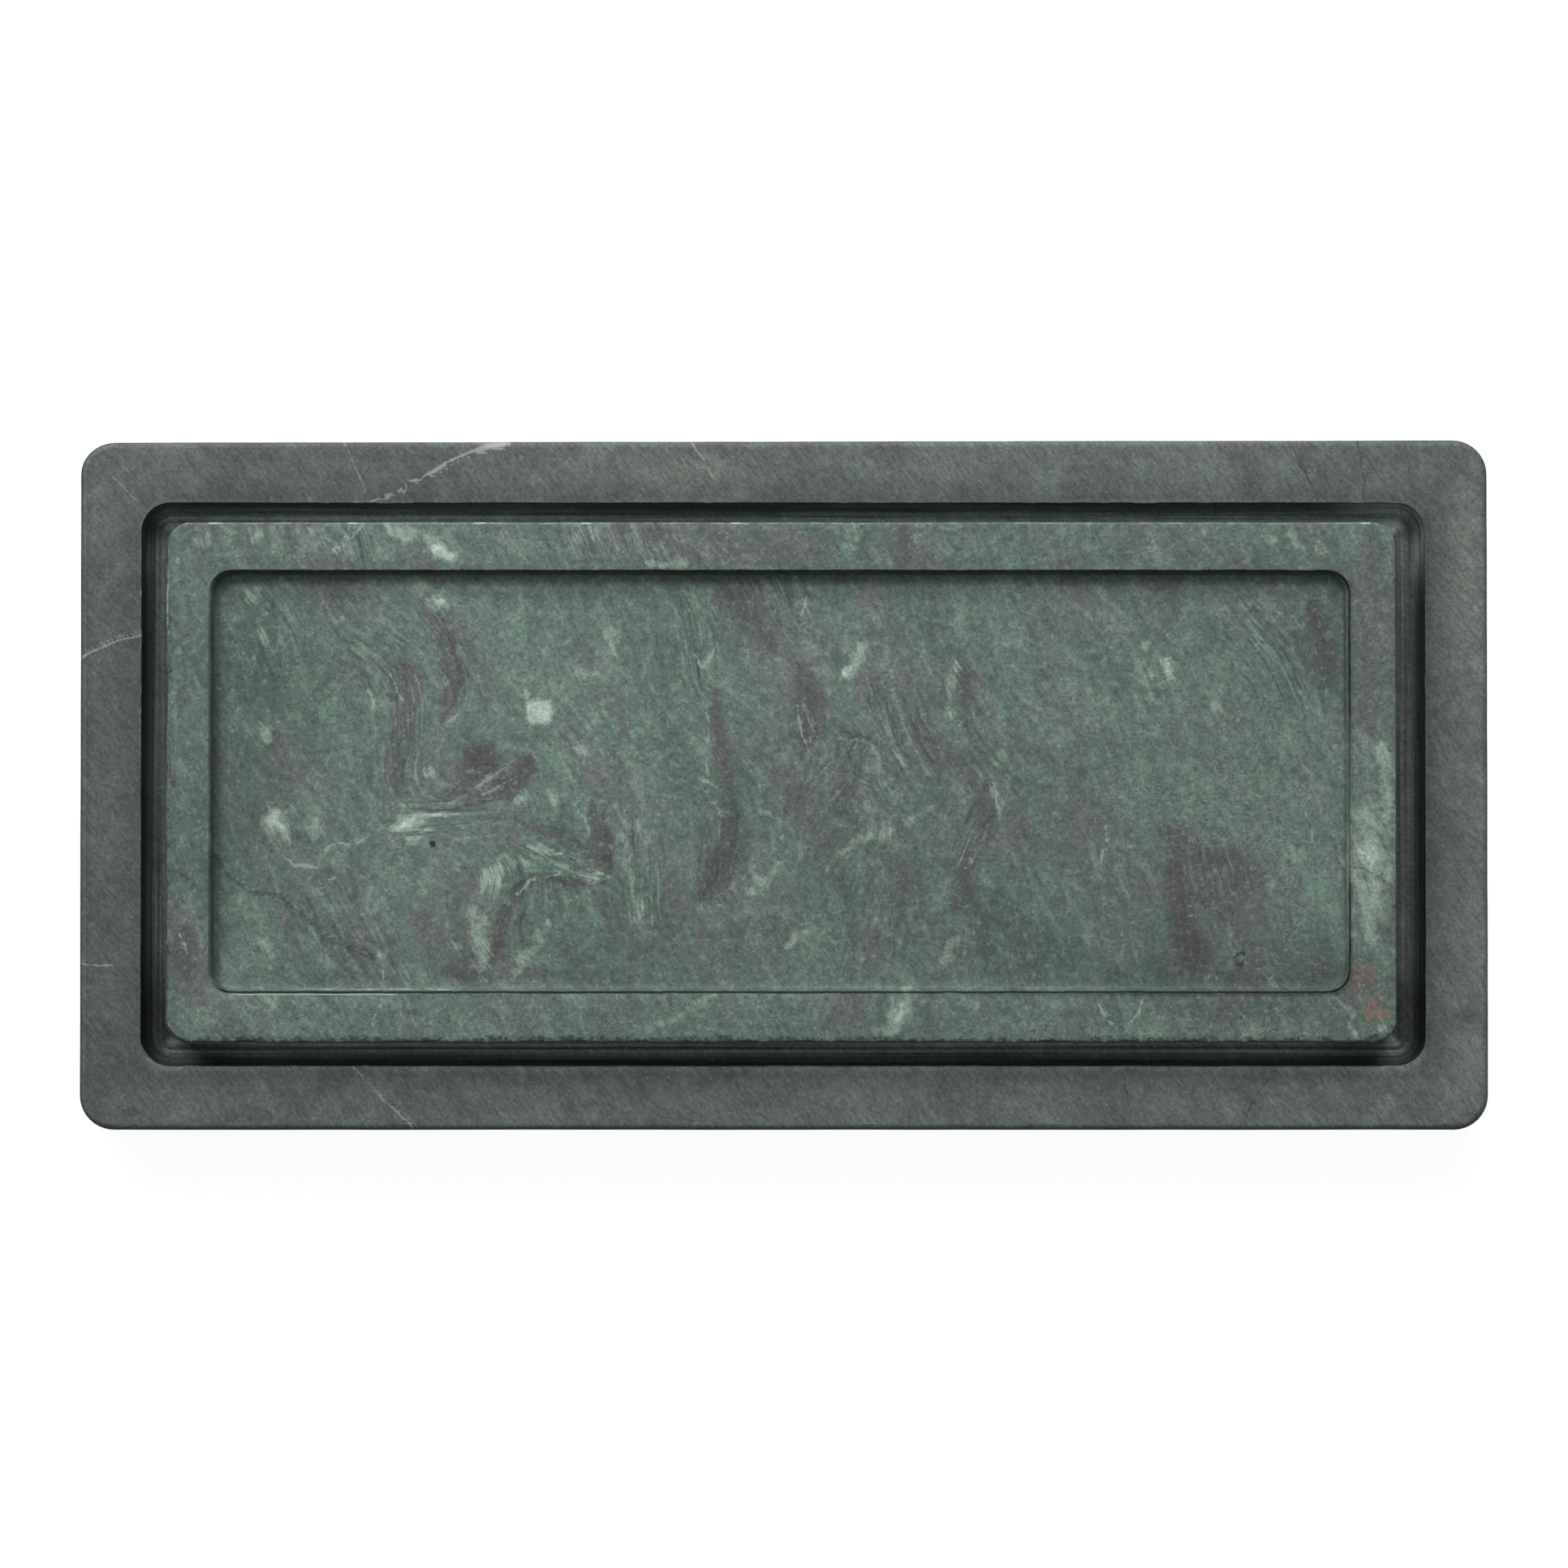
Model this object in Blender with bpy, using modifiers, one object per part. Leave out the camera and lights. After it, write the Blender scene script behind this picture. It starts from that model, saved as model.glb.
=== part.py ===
"""Nested marble tray.

A shallow green marble tray lies loose in the milled pocket of a larger, darker stone tray.
Four felt pads carry the outer tray, and four clear bumpers carry the inner one.

Metres, +Z up. The origin is the middle of the footprint, on the surface that the felt pads
stand on. +X runs along the tray and +Y points to its back.
"""
import math

import bmesh
import bpy
from mathutils import Vector

# Outer tray: a block with rounded corners
OUTER_LENGTH = 0.4064
OUTER_WIDTH = 0.1994
OUTER_HEIGHT = 0.0200
OUTER_CORNER_RADIUS = 0.0100
OUTER_TOP_ROUND = 0.0016
OUTER_BOTTOM_ARRIS = 0.0010

# Rim that the pocket leaves standing on each side of the outer tray
RIM_LEFT = 0.0174
RIM_RIGHT = 0.0178
RIM_BACK = 0.0183
RIM_FRONT = 0.0186

# Pocket: its walls lean outwards a little, and a cove joins them to the floor
POCKET_DEPTH = 0.0100
POCKET_CORNER_RADIUS = 0.0085
POCKET_WALL_LEAN = 0.0010
POCKET_COVE_RADIUS = 0.0030
POCKET_MOUTH_ARRIS = 0.0004

# Channel left open between the pocket's mouth and the inner tray
CHANNEL_LEFT = 0.0077
CHANNEL_RIGHT = 0.0092
CHANNEL_BACK = 0.0055
CHANNEL_FRONT = 0.0066

# Inner tray: how far its rim stands above the outer rim, and its edges
INNER_STANDS_PROUD = 0.0080
INNER_CORNER_RADIUS = 0.0070
INNER_TOP_ROUND = 0.0009
INNER_BOTTOM_ARRIS = 0.0008

# Rim that the dish leaves standing on each side of the inner tray
DISH_RIM_LEFT = 0.0124
DISH_RIM_RIGHT = 0.0130
DISH_RIM_BACK = 0.0137
DISH_RIM_FRONT = 0.0148

# Dish: walls that lean outwards, and a small cove at their foot
DISH_DEPTH = 0.0055
DISH_CORNER_RADIUS = 0.0065
DISH_WALL_LEAN = 0.0012
DISH_COVE_RADIUS = 0.0014
DISH_MOUTH_ARRIS = 0.0004

# Felt pads under the outer tray, with their distance from its sides
FELT_DIAMETER = 0.0200
FELT_THICKNESS = 0.0025
FELT_EDGE = 0.0004
FELT_INSET = 0.0110

# Clear bumpers under the inner tray, with their distance from its sides
BUMPER_DIAMETER = 0.0095
BUMPER_FOOT_DIAMETER = 0.0080
BUMPER_THICKNESS = 0.0015
BUMPER_FOOT_ROUND = 0.0005
BUMPER_INSET = 0.0090

# Gap between pieces that touch, and how far a cutter runs past what it cuts
SEAT_GAP = 0.0003
CUT_OVERRUN = 0.0020

# Facets of round stretches
CORNER_SEGMENTS = 8
COVE_SEGMENTS = 5
DISH_COVE_SEGMENTS = 3
TOP_ROUND_SEGMENTS = 3
ARRIS_SEGMENTS = 1
MOUTH_SEGMENTS = 2
PAD_SIDES = 32
PAD_EDGE_SEGMENTS = 2
SHARP_EDGE = math.radians(50)
SMOOTH_BELOW = math.radians(35)

# Heights
OUTER_UNDERSIDE_Z = FELT_THICKNESS + SEAT_GAP
OUTER_TOP_Z = OUTER_UNDERSIDE_Z + OUTER_HEIGHT
POCKET_FLOOR_Z = OUTER_TOP_Z - POCKET_DEPTH
BUMPER_UNDERSIDE_Z = POCKET_FLOOR_Z + SEAT_GAP
INNER_UNDERSIDE_Z = BUMPER_UNDERSIDE_Z + BUMPER_THICKNESS + SEAT_GAP
INNER_TOP_Z = OUTER_TOP_Z + INNER_STANDS_PROUD
INNER_HEIGHT = INNER_TOP_Z - INNER_UNDERSIDE_Z

# The four corners of a tray, as the side of each axis that they lie on
CORNERS = {
    "front_left": (-1, -1),
    "front_right": (1, -1),
    "back_left": (-1, 1),
    "back_right": (1, 1),
}


class Rectangle:
    """A rectangle in plan, by its low and high corners."""

    def __init__(self, left, front, right, back):
        self.low = Vector((left, front))
        self.high = Vector((right, back))

    @property
    def centre(self):
        return (self.low + self.high) / 2

    @property
    def size(self):
        return self.high - self.low

    def inset(self, left, front, right, back):
        """The rectangle that is left inside borders of the given widths."""
        return Rectangle(self.low.x + left, self.low.y + front, self.high.x - right, self.high.y - back)

    def corner(self, side_x, side_y, distance):
        """The point near a corner that lies the distance in from both of its sides."""
        half = self.size / 2
        return self.centre + Vector((side_x * (half.x - distance), side_y * (half.y - distance)))


OUTER_PLAN = Rectangle(-OUTER_LENGTH / 2, -OUTER_WIDTH / 2, OUTER_LENGTH / 2, OUTER_WIDTH / 2)
POCKET_PLAN = OUTER_PLAN.inset(RIM_LEFT, RIM_FRONT, RIM_RIGHT, RIM_BACK)
INNER_PLAN = POCKET_PLAN.inset(CHANNEL_LEFT, CHANNEL_FRONT, CHANNEL_RIGHT, CHANNEL_BACK)
DISH_PLAN = INNER_PLAN.inset(DISH_RIM_LEFT, DISH_RIM_FRONT, DISH_RIM_RIGHT, DISH_RIM_BACK)


def clear_scene():
    """Removes what the file opened with."""
    for item in list(bpy.data.objects):
        bpy.data.objects.remove(item, do_unlink=True)
    for collection in list(bpy.data.collections):
        bpy.data.collections.remove(collection)


def new_collection(name):
    collection = bpy.data.collections.new(name)
    bpy.context.scene.collection.children.link(collection)
    return collection


def plain_material(name, colour, roughness):
    """A Principled BSDF of one colour."""
    material = bpy.data.materials.new(name)
    material.use_nodes = True
    shader = material.node_tree.nodes["Principled BSDF"]
    shader.inputs["Base Color"].default_value = (*colour, 1)
    shader.inputs["Roughness"].default_value = roughness
    shader.inputs["Metallic"].default_value = 0
    return material


def dark_stone():
    return plain_material("dark_stone", (0.100, 0.115, 0.105), 0.60)


def green_marble():
    return plain_material("green_marble", (0.095, 0.150, 0.120), 0.55)


def grey_felt():
    return plain_material("grey_felt", (0.045, 0.045, 0.047), 0.95)


def clear_silicone():
    return plain_material("clear_silicone", (0.620, 0.640, 0.630), 0.30)


def add_object(name, form, location, collection, material=None, parent=None):
    """Puts a bmesh in the scene as a named object, and frees it."""
    mesh = bpy.data.meshes.new(name)
    form.to_mesh(mesh)
    form.free()
    mesh.shade_smooth()
    mesh.set_sharp_from_angle(angle=SMOOTH_BELOW)
    if material:
        mesh.materials.append(material)
    piece = bpy.data.objects.new(name, mesh)
    piece.location = location
    piece.parent = parent
    collection.objects.link(piece)
    return piece


def add_empty(name, location, collection):
    """An empty that carries the pieces of one tray."""
    empty = bpy.data.objects.new(name, None)
    empty.location = location
    collection.objects.link(empty)
    return empty


def block(size, height):
    """A box that stands on z = 0, centred in plan."""
    form = bmesh.new()
    bmesh.ops.create_cube(form, size=1)
    bmesh.ops.scale(form, vec=(size.x, size.y, height), verts=form.verts)
    bmesh.ops.translate(form, vec=(0, 0, height / 2), verts=form.verts)
    return form


def is_upright(edge):
    low, high = sorted(corner.co.z for corner in edge.verts)
    return high > low + SEAT_GAP


def round_uprights(form, radius):
    """Rounds the four upright edges of a block."""
    uprights = [edge for edge in form.edges if is_upright(edge)]
    bmesh.ops.bevel(form, geom=uprights, offset=radius, offset_type="OFFSET", segments=CORNER_SEGMENTS,
                    profile=0.5, affect="EDGES")


def cap_edges(form, highest):
    """The edges round the top face of a form, or round its bottom face."""
    choose = max if highest else min
    cap = choose(form.faces, key=lambda face: face.calc_center_median().z)
    return list(cap.edges)


def round_cap(form, highest, radius, segments):
    """Rounds the edge all round the top or the bottom face."""
    bmesh.ops.bevel(form, geom=cap_edges(form, highest), offset=radius, offset_type="OFFSET",
                    segments=segments, profile=0.5, affect="EDGES")


def stone_block(plan, height, corner_radius, top_round, bottom_arris):
    """A rounded block of stone, before its hollow is milled."""
    form = block(plan.size, height)
    round_uprights(form, corner_radius)
    round_cap(form, True, top_round, TOP_ROUND_SEGMENTS)
    round_cap(form, False, bottom_arris, ARRIS_SEGMENTS)
    return form


def hollow_cutter(plan, depth, corner_radius, wall_lean, cove_radius, cove_segments):
    """The shape that a mill takes out: its foot is at z = 0, and at the depth it has the plan's size."""
    form = block(plan.size, depth + CUT_OVERRUN)
    for corner in form.verts:
        spread = wall_lean * (corner.co.z - depth) / depth
        corner.co.x += math.copysign(spread, corner.co.x)
        corner.co.y += math.copysign(spread, corner.co.y)
    round_uprights(form, corner_radius)
    round_cap(form, False, cove_radius, cove_segments)
    return form


def mill(piece, cutter, mouth_arris):
    """Cuts the hollow, then breaks the sharp edge that it leaves at the mouth."""
    cutter.hide_render = True
    cutter.display_type = "WIRE"
    cut = piece.modifiers.new("hollow", "BOOLEAN")
    cut.object = cutter
    cut.operation = "DIFFERENCE"
    cut.solver = "EXACT"
    arris = piece.modifiers.new("mouth_arris", "BEVEL")
    arris.width = mouth_arris
    arris.segments = MOUTH_SEGMENTS
    arris.limit_method = "ANGLE"
    arris.angle_limit = SHARP_EDGE
    shading = piece.modifiers.new("flat_faces_stay_flat", "WEIGHTED_NORMAL")
    shading.keep_sharp = True


def relative(plan_point, z, parent):
    """A point of the tray, as a location under its parent empty."""
    return Vector((plan_point.x, plan_point.y, z)) - parent.location


def outer_tray(parts, cutters, parent):
    """The larger tray, with the pocket that the inner tray lies in."""
    form = stone_block(OUTER_PLAN, OUTER_HEIGHT, OUTER_CORNER_RADIUS, OUTER_TOP_ROUND, OUTER_BOTTOM_ARRIS)
    place = relative(OUTER_PLAN.centre, OUTER_UNDERSIDE_Z, parent)
    piece = add_object("outer_tray", form, place, parts, dark_stone(), parent)
    form = hollow_cutter(POCKET_PLAN, POCKET_DEPTH, POCKET_CORNER_RADIUS, POCKET_WALL_LEAN,
                         POCKET_COVE_RADIUS, COVE_SEGMENTS)
    place = relative(POCKET_PLAN.centre, POCKET_FLOOR_Z, parent)
    cutter = add_object("pocket_cutter", form, place, cutters, parent=parent)
    mill(piece, cutter, POCKET_MOUTH_ARRIS)


def inner_tray(parts, cutters, parent):
    """The loose tray, with its shallow dish."""
    form = stone_block(INNER_PLAN, INNER_HEIGHT, INNER_CORNER_RADIUS, INNER_TOP_ROUND, INNER_BOTTOM_ARRIS)
    place = relative(INNER_PLAN.centre, INNER_UNDERSIDE_Z, parent)
    piece = add_object("inner_tray", form, place, parts, green_marble(), parent)
    form = hollow_cutter(DISH_PLAN, DISH_DEPTH, DISH_CORNER_RADIUS, DISH_WALL_LEAN,
                         DISH_COVE_RADIUS, DISH_COVE_SEGMENTS)
    place = relative(DISH_PLAN.centre, INNER_TOP_Z - DISH_DEPTH, parent)
    cutter = add_object("dish_cutter", form, place, cutters, parent=parent)
    mill(piece, cutter, DISH_MOUTH_ARRIS)


def disc(top_diameter, foot_diameter, thickness):
    """A round pad that stands on z = 0."""
    form = bmesh.new()
    bmesh.ops.create_cone(form, cap_ends=True, segments=PAD_SIDES, radius1=foot_diameter / 2,
                          radius2=top_diameter / 2, depth=thickness)
    bmesh.ops.translate(form, vec=(0, 0, thickness / 2), verts=form.verts)
    return form


def felt_pads(parts, parent):
    """A flat felt disc near each corner of the outer tray's underside."""
    material = grey_felt()
    for corner, (side_x, side_y) in CORNERS.items():
        form = disc(FELT_DIAMETER, FELT_DIAMETER, FELT_THICKNESS)
        round_cap(form, False, FELT_EDGE, PAD_EDGE_SEGMENTS)
        spot = OUTER_PLAN.corner(side_x, side_y, FELT_INSET + FELT_DIAMETER / 2)
        add_object(f"felt_pad_{corner}", form, relative(spot, 0, parent), parts, material, parent)


def bumpers(parts, parent):
    """A tapered bumper near each corner of the inner tray's underside."""
    material = clear_silicone()
    for corner, (side_x, side_y) in CORNERS.items():
        form = disc(BUMPER_DIAMETER, BUMPER_FOOT_DIAMETER, BUMPER_THICKNESS)
        round_cap(form, False, BUMPER_FOOT_ROUND, PAD_EDGE_SEGMENTS)
        spot = INNER_PLAN.corner(side_x, side_y, BUMPER_INSET + BUMPER_DIAMETER / 2)
        place = relative(spot, BUMPER_UNDERSIDE_Z, parent)
        add_object(f"bumper_{corner}", form, place, parts, material, parent)


def main():
    clear_scene()
    parts = new_collection("marble_tray")
    cutters = new_collection("cutters")
    base = add_empty("base", Vector((0, 0, 0)), parts)
    centre = INNER_PLAN.centre
    lift = add_empty("inner_tray_lift", Vector((centre.x, centre.y, POCKET_FLOOR_Z)), parts)
    lift.parent = base
    outer_tray(parts, cutters, base)
    felt_pads(parts, base)
    inner_tray(parts, cutters, lift)
    bumpers(parts, lift)


main()
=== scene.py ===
"""Looks of the nested marble tray: two worked stones, felt pads and clear bumpers.

Each stone is one closed surface made of loops: rounded rectangles that start under the stone, climb its
side, cross its rim and run down into its hollow. The stone's pattern is laid out on those loops as named
streaks and patches, and node materials break it up into grain, fibres and veins.

Metres, +Z up, +X along the tray, +Y to its back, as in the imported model.
"""
import math
from types import SimpleNamespace

import bpy
import numpy as np
from mathutils import Euler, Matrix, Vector


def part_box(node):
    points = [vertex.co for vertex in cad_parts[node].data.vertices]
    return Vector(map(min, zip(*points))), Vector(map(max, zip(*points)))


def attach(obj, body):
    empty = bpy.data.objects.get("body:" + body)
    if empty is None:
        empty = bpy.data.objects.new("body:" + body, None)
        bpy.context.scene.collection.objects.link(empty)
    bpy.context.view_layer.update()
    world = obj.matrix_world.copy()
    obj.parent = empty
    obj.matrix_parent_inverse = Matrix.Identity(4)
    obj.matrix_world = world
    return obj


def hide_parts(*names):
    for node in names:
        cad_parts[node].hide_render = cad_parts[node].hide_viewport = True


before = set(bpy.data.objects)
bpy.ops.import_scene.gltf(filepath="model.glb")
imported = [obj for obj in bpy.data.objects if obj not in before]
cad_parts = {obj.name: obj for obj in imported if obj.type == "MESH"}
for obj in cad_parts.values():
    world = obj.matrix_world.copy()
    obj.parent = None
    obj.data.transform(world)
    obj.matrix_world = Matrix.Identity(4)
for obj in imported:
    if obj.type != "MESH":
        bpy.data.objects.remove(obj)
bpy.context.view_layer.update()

MM = 0.001

# The photograph's frame, and the camera that it was taken with
PHOTO_SIDE = 1932
OUTER_LEFT_PIXEL = 99.5
OUTER_RIGHT_PIXEL = 1832.2
CENTRE_PIXEL = (965.9, 966.9)
CAMERA_DISTANCE = 2.6
CAMERA_TILT = math.radians(1.7)
SENSOR = 36.0

outer_low, outer_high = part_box("outer_tray")
inner_low, inner_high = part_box("inner_tray")
PIXEL = (outer_high.x - outer_low.x) / (OUTER_RIGHT_PIXEL - OUTER_LEFT_PIXEL)
# The stone is widest a little under its rim, which the scale is taken at
OUTLINE_SHARE = 1.0012
LENS = OUTLINE_SHARE * SENSOR * CAMERA_DISTANCE / (PHOTO_SIDE * PIXEL)

# Outer tray: widths of its rim, its edges, and its pocket
RIM_LEFT, RIM_FRONT, RIM_RIGHT, RIM_BACK = 0.0174, 0.0183, 0.0178, 0.0180
OUTER_CORNER = 0.0100
OUTER_ROUND = 0.0016
OUTER_ARRIS = 0.0010
POCKET_CORNER = 0.0085
POCKET_DEPTH = 0.0100
POCKET_LEAN = 0.0010
POCKET_COVE = 0.0030
POCKET_ARRIS = 0.0002
BACK_EDGE_SKEW = 0.0007
FRONT_EDGE_BACK = 0.0001

# Inner tray: widths of its rim, its edges, and its dish
DISH_RIM_LEFT, DISH_RIM_FRONT, DISH_RIM_RIGHT, DISH_RIM_BACK = 0.0124, 0.0148, 0.0130, 0.0136
INNER_BACK_IN = 0.0005
INNER_CORNER = 0.0070
INNER_ROUND = 0.0005
INNER_ARRIS = 0.0008
DISH_CORNER = 0.0065
DISH_DEPTH = 0.0055
DISH_LEAN = 0.0012
DISH_COVE = 0.0014
DISH_ARRIS = 0.00015
DISH_FRONT_WIDER = 0.0006

# Points round a loop: on each long side, each short side and each corner
LONG_POINTS = 330
SHORT_POINTS = 130
CORNER_POINTS = 10


def linear(value):
    """One channel of an everyday 0-255 colour, as the light that it stands for."""
    share = value / 255
    return share / 12.92 if share <= 0.04045 else ((share + 0.055) / 1.055) ** 2.4


def colour(red, green, blue):
    return (linear(red), linear(green), linear(blue), 1.0)


def smooth(low, high, value):
    """A smooth step from 0 at low to 1 at high."""
    share = np.clip((value - low) / (high - low), 0, 1)
    return share * share * (3 - 2 * share)


def x_at(pixel):
    """How far along the tray a column of the photograph lies."""
    return (pixel - CENTRE_PIXEL[0]) * PIXEL


def y_at(pixel):
    """How far to the tray's back a row of the photograph lies."""
    return (CENTRE_PIXEL[1] - pixel) * PIXEL


class Loop:
    """The order of points round a loop: front, right, back and left side, each with the corner after it.

    Loops of any size have the same points, so that faces can join one loop to the next. Each wobble, dents
    or chips has a seed of its own.
    """

    def __init__(self):
        sides = ((LONG_POINTS, -90), (SHORT_POINTS, 0), (LONG_POINTS, 90), (SHORT_POINTS, 180))
        corners = ((-1, -1), (1, -1), (1, 1), (-1, 1))
        side_share, ends, turn = [], [], []
        for number, (points, facing) in enumerate(sides):
            side_share += list(np.linspace(0, 1, points, endpoint=False)) + [1.0] * CORNER_POINTS
            ends += [(corners[number], corners[(number + 1) % len(corners)])] * (points + CORNER_POINTS)
            turn += [facing] * points
            turn += [facing + 90 * share for share in np.linspace(0, 1, CORNER_POINTS, endpoint=False)]
        self.count = len(turn)
        self.share = np.array(side_share)[:, None]
        self.start, self.end = (np.array(ends, float)[:, end] for end in (0, 1))
        angle = np.radians(np.array(turn, float))
        self.normal = np.stack((np.cos(angle), np.sin(angle)), axis=1)
        self.phase = np.arange(self.count) / self.count
        across, up = self.normal[:, 0], self.normal[:, 1]
        self.left, self.front, self.right, self.back = (
            np.clip(facing, 0, 1) ** 2 for facing in (-across, -up, across, up))

    def points(self, plan, radius):
        """Points round a rounded rectangle, given as left, front, right, back."""
        left, front, right, back = plan
        radius = min(radius, (right - left) / 2, (back - front) / 2)
        centre = np.array(((left + right) / 2, (front + back) / 2))
        half = np.array(((right - left) / 2, (back - front) / 2)) - radius
        start, end = self.start * half, self.end * half
        return centre + start + (end - start) * self.share + self.normal * radius

    def closing_faces(self, base, reverse=False):
        """Faces that close a loop squeezed to a strip: quads between its long sides, and one at each end."""
        turn = LONG_POINTS + CORNER_POINTS + SHORT_POINTS + CORNER_POINTS
        front = [base + number for number in range(LONG_POINTS + 1)]
        back = [base + turn + LONG_POINTS - number for number in range(LONG_POINTS + 1)]
        right_end = tuple(range(base + LONG_POINTS, base + turn + 1))
        left_end = tuple(range(base + turn + LONG_POINTS, base + self.count)) + (base,)
        faces = [(front[n], front[n + 1], back[n + 1], back[n]) for n in range(LONG_POINTS)]
        faces += [right_end, left_end]
        return [tuple(reversed(face)) for face in faces] if reverse else faces

    def by_side(self, left, front, right, back):
        """A value round the loop that has its own size on each side."""
        return left * self.left + front * self.front + right * self.right + back * self.back

    def near(self, corner, reach):
        """1 at a corner, given by its place, down to 0 at a distance from it along the sides."""
        at = self.start + (self.end - self.start) * self.share
        return 1 - smooth(reach / 3, reach, np.hypot(*((at - np.sign(corner)) * np.abs(corner)).T))

    def wobble(self, seed, waves):
        """An uneven line round the loop, about -1 to 1, with waves of the given counts."""
        draws = np.random.default_rng(seed)
        total = np.zeros(self.count)
        for number in waves:
            total += np.sin(2 * math.pi * (number * self.phase + draws.random())) * draws.uniform(0.5, 1)
        return total / math.sqrt(len(waves))

    def dents(self, seed, waves, depth, lowered=1):
        """Shallow dents round the loop, at most 0: a wobble, lowered by some times its own size."""
        return np.minimum(depth * (self.wobble(seed, waves) - lowered), 0)

    def chips(self, seed, count, widths):
        """Small bites at chance places round the loop, 0 to 1 deep. Widths are shares of the loop."""
        draws = np.random.default_rng(seed)
        total = np.zeros(self.count)
        for _ in range(count):
            place, width, depth = draws.random(), draws.uniform(*widths), draws.uniform(0.2, 1)
            apart = np.abs((self.phase - place + 0.5) % 1 - 0.5)
            total = np.maximum(total, depth * (1 - smooth(width / 2, width, apart)))
        return total


LOOP = Loop()


def by_sides(**table):
    """Named values round the loop, each from its sizes on the left, front, right and back side."""
    return SimpleNamespace(**{name: LOOP.by_side(*values) for name, values in table.items()})


def inset(plan, left, front=None, right=None, back=None):
    """The rectangle inside borders of the given widths, or inside one border all round."""
    front, right, back = (left if side is None else side for side in (front, right, back))
    return (plan[0] + left, plan[1] + front, plan[2] - right, plan[3] - back)


def between(outside, inside, share):
    """The rectangle at a share of the way from one rectangle to another."""
    return tuple(start + (end - start) * share for start, end in zip(outside, inside))


# How the photograph sees a point
RIM_CENTRE = Vector((x_at(PHOTO_SIDE / 2), y_at(PHOTO_SIDE / 2), outer_high.z))
CAMERA_TURN = Euler((CAMERA_TILT, 0, 0))
CAMERA_PLACE = RIM_CENTRE + CAMERA_TURN.to_matrix() @ Vector((0, 0, CAMERA_DISTANCE))


def photo_pixels(points):
    """Where the photograph shows each point, in its pixels."""
    seen = (points - np.array(CAMERA_PLACE)) @ np.array(CAMERA_TURN.to_matrix())
    scale = LENS / SENSOR * PHOTO_SIDE / -seen[:, 2]
    return np.stack((PHOTO_SIDE / 2 + seen[:, 0] * scale, PHOTO_SIDE / 2 - seen[:, 1] * scale), axis=1)


class Stone:
    """A closed surface of loops, with named fields for its material."""

    def __init__(self, fields, **common):
        """The common fields have their values on every loop."""
        self.rows = []
        self.fields = {name: [] for name in fields}
        self.common = common

    def add(self, plan, radius, z, outwards=0.0, **fields):
        """Adds a loop. What it doesn't say of a field is 0."""
        flat = LOOP.points(plan, radius) + LOOP.normal * np.broadcast_to(outwards, LOOP.count)[:, None]
        self.rows.append(np.column_stack((flat, np.broadcast_to(z, LOOP.count))))
        fields = {**self.common, **fields}
        for name, values in self.fields.items():
            values.append(np.broadcast_to(fields.get(name, 0.0), LOOP.count).astype(float))

    def pixels(self):
        return photo_pixels(np.concatenate(self.rows))

    def field(self, name):
        return np.concatenate(self.fields[name])

    def build(self, name, material, pattern):
        """Makes the object. The pattern is more fields, with a value for each point."""
        count, rows = LOOP.count, len(self.rows)
        here = np.arange(count)
        ahead = (here + 1) % count
        faces = LOOP.closing_faces(0, reverse=True) + LOOP.closing_faces((rows - 1) * count)
        for base in range(0, (rows - 1) * count, count):
            above = base + count
            faces += np.stack((base + here, base + ahead, above + ahead, above + here), axis=1).tolist()
        mesh = bpy.data.meshes.new(name)
        mesh.from_pydata(np.concatenate(self.rows).tolist(), [], faces)
        fields = {key: self.field(key) for key in self.fields}
        for key, values in {**fields, **pattern}.items():
            mesh.attributes.new(key, "FLOAT", "POINT").data.foreach_set("value", values.astype(np.float32))
        mesh.shade_smooth()
        return placed(name, mesh, material)


def placed(name, mesh, material):
    """Puts a mesh into the scene with its material."""
    mesh.materials.append(material)
    piece = bpy.data.objects.new(name, mesh)
    bpy.context.scene.collection.objects.link(piece)
    return piece


class Drift:
    """Smooth chance values from -1 to 1 over the photograph's plane, with lumps of one size in pixels."""

    CELLS = 64

    def __init__(self, seed, size):
        self.size = size
        self.lattice = np.random.default_rng(seed).uniform(-1, 1, (self.CELLS, self.CELLS))

    def at(self, pixels):
        cell = np.floor(pixels / self.size).astype(int)
        part = pixels / self.size - cell
        across, down = (part * part * (3 - 2 * part)).T
        low, high = cell % self.CELLS, (cell + 1) % self.CELLS
        before, after = (self.lattice[low[:, 0], row] * (1 - across) + self.lattice[high[:, 0], row] * across
                         for row in (low[:, 1], high[:, 1]))
        return before * (1 - down) + after * down


def drifted(pixels, seed, lumps):
    """The places, each pushed a little off by chance. lumps are sizes with how far they push, in pixels."""
    moved = pixels.copy()
    for number, (size, reach) in enumerate(lumps):
        push = [Drift(seed + 10 * number + axis, size).at(pixels) for axis in (0, 1)]
        moved += reach * np.stack(push, axis=1)
    return moved


# How far the pattern's parts drift: sizes of the lumps and how far they push, in pixels
MARK_DRIFT = ((95, 8), (38, 6), (16, 4))
VEIN_DRIFT = ((60, 4), (22, 3), (11, 1.5))
SCRATCH_DRIFT = ((60, 2), (22, 1), (11, 1))
STRAND_DRIFT = ((170, 16), (70, 7))
MARK_SEED, VEIN_SEED, STRAND_SEED = 400, 450, 500

# Width of a long mark at its ends, and how much wider it is in the middle, as shares of its own
END_WIDTH = 0.35
MIDDLE_WIDER = 0.75

# A thin vein is drawn where its field of distances crosses 0, close to the vein
VEIN_SURE = 3.5
VEIN_LOST = 7.0


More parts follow.
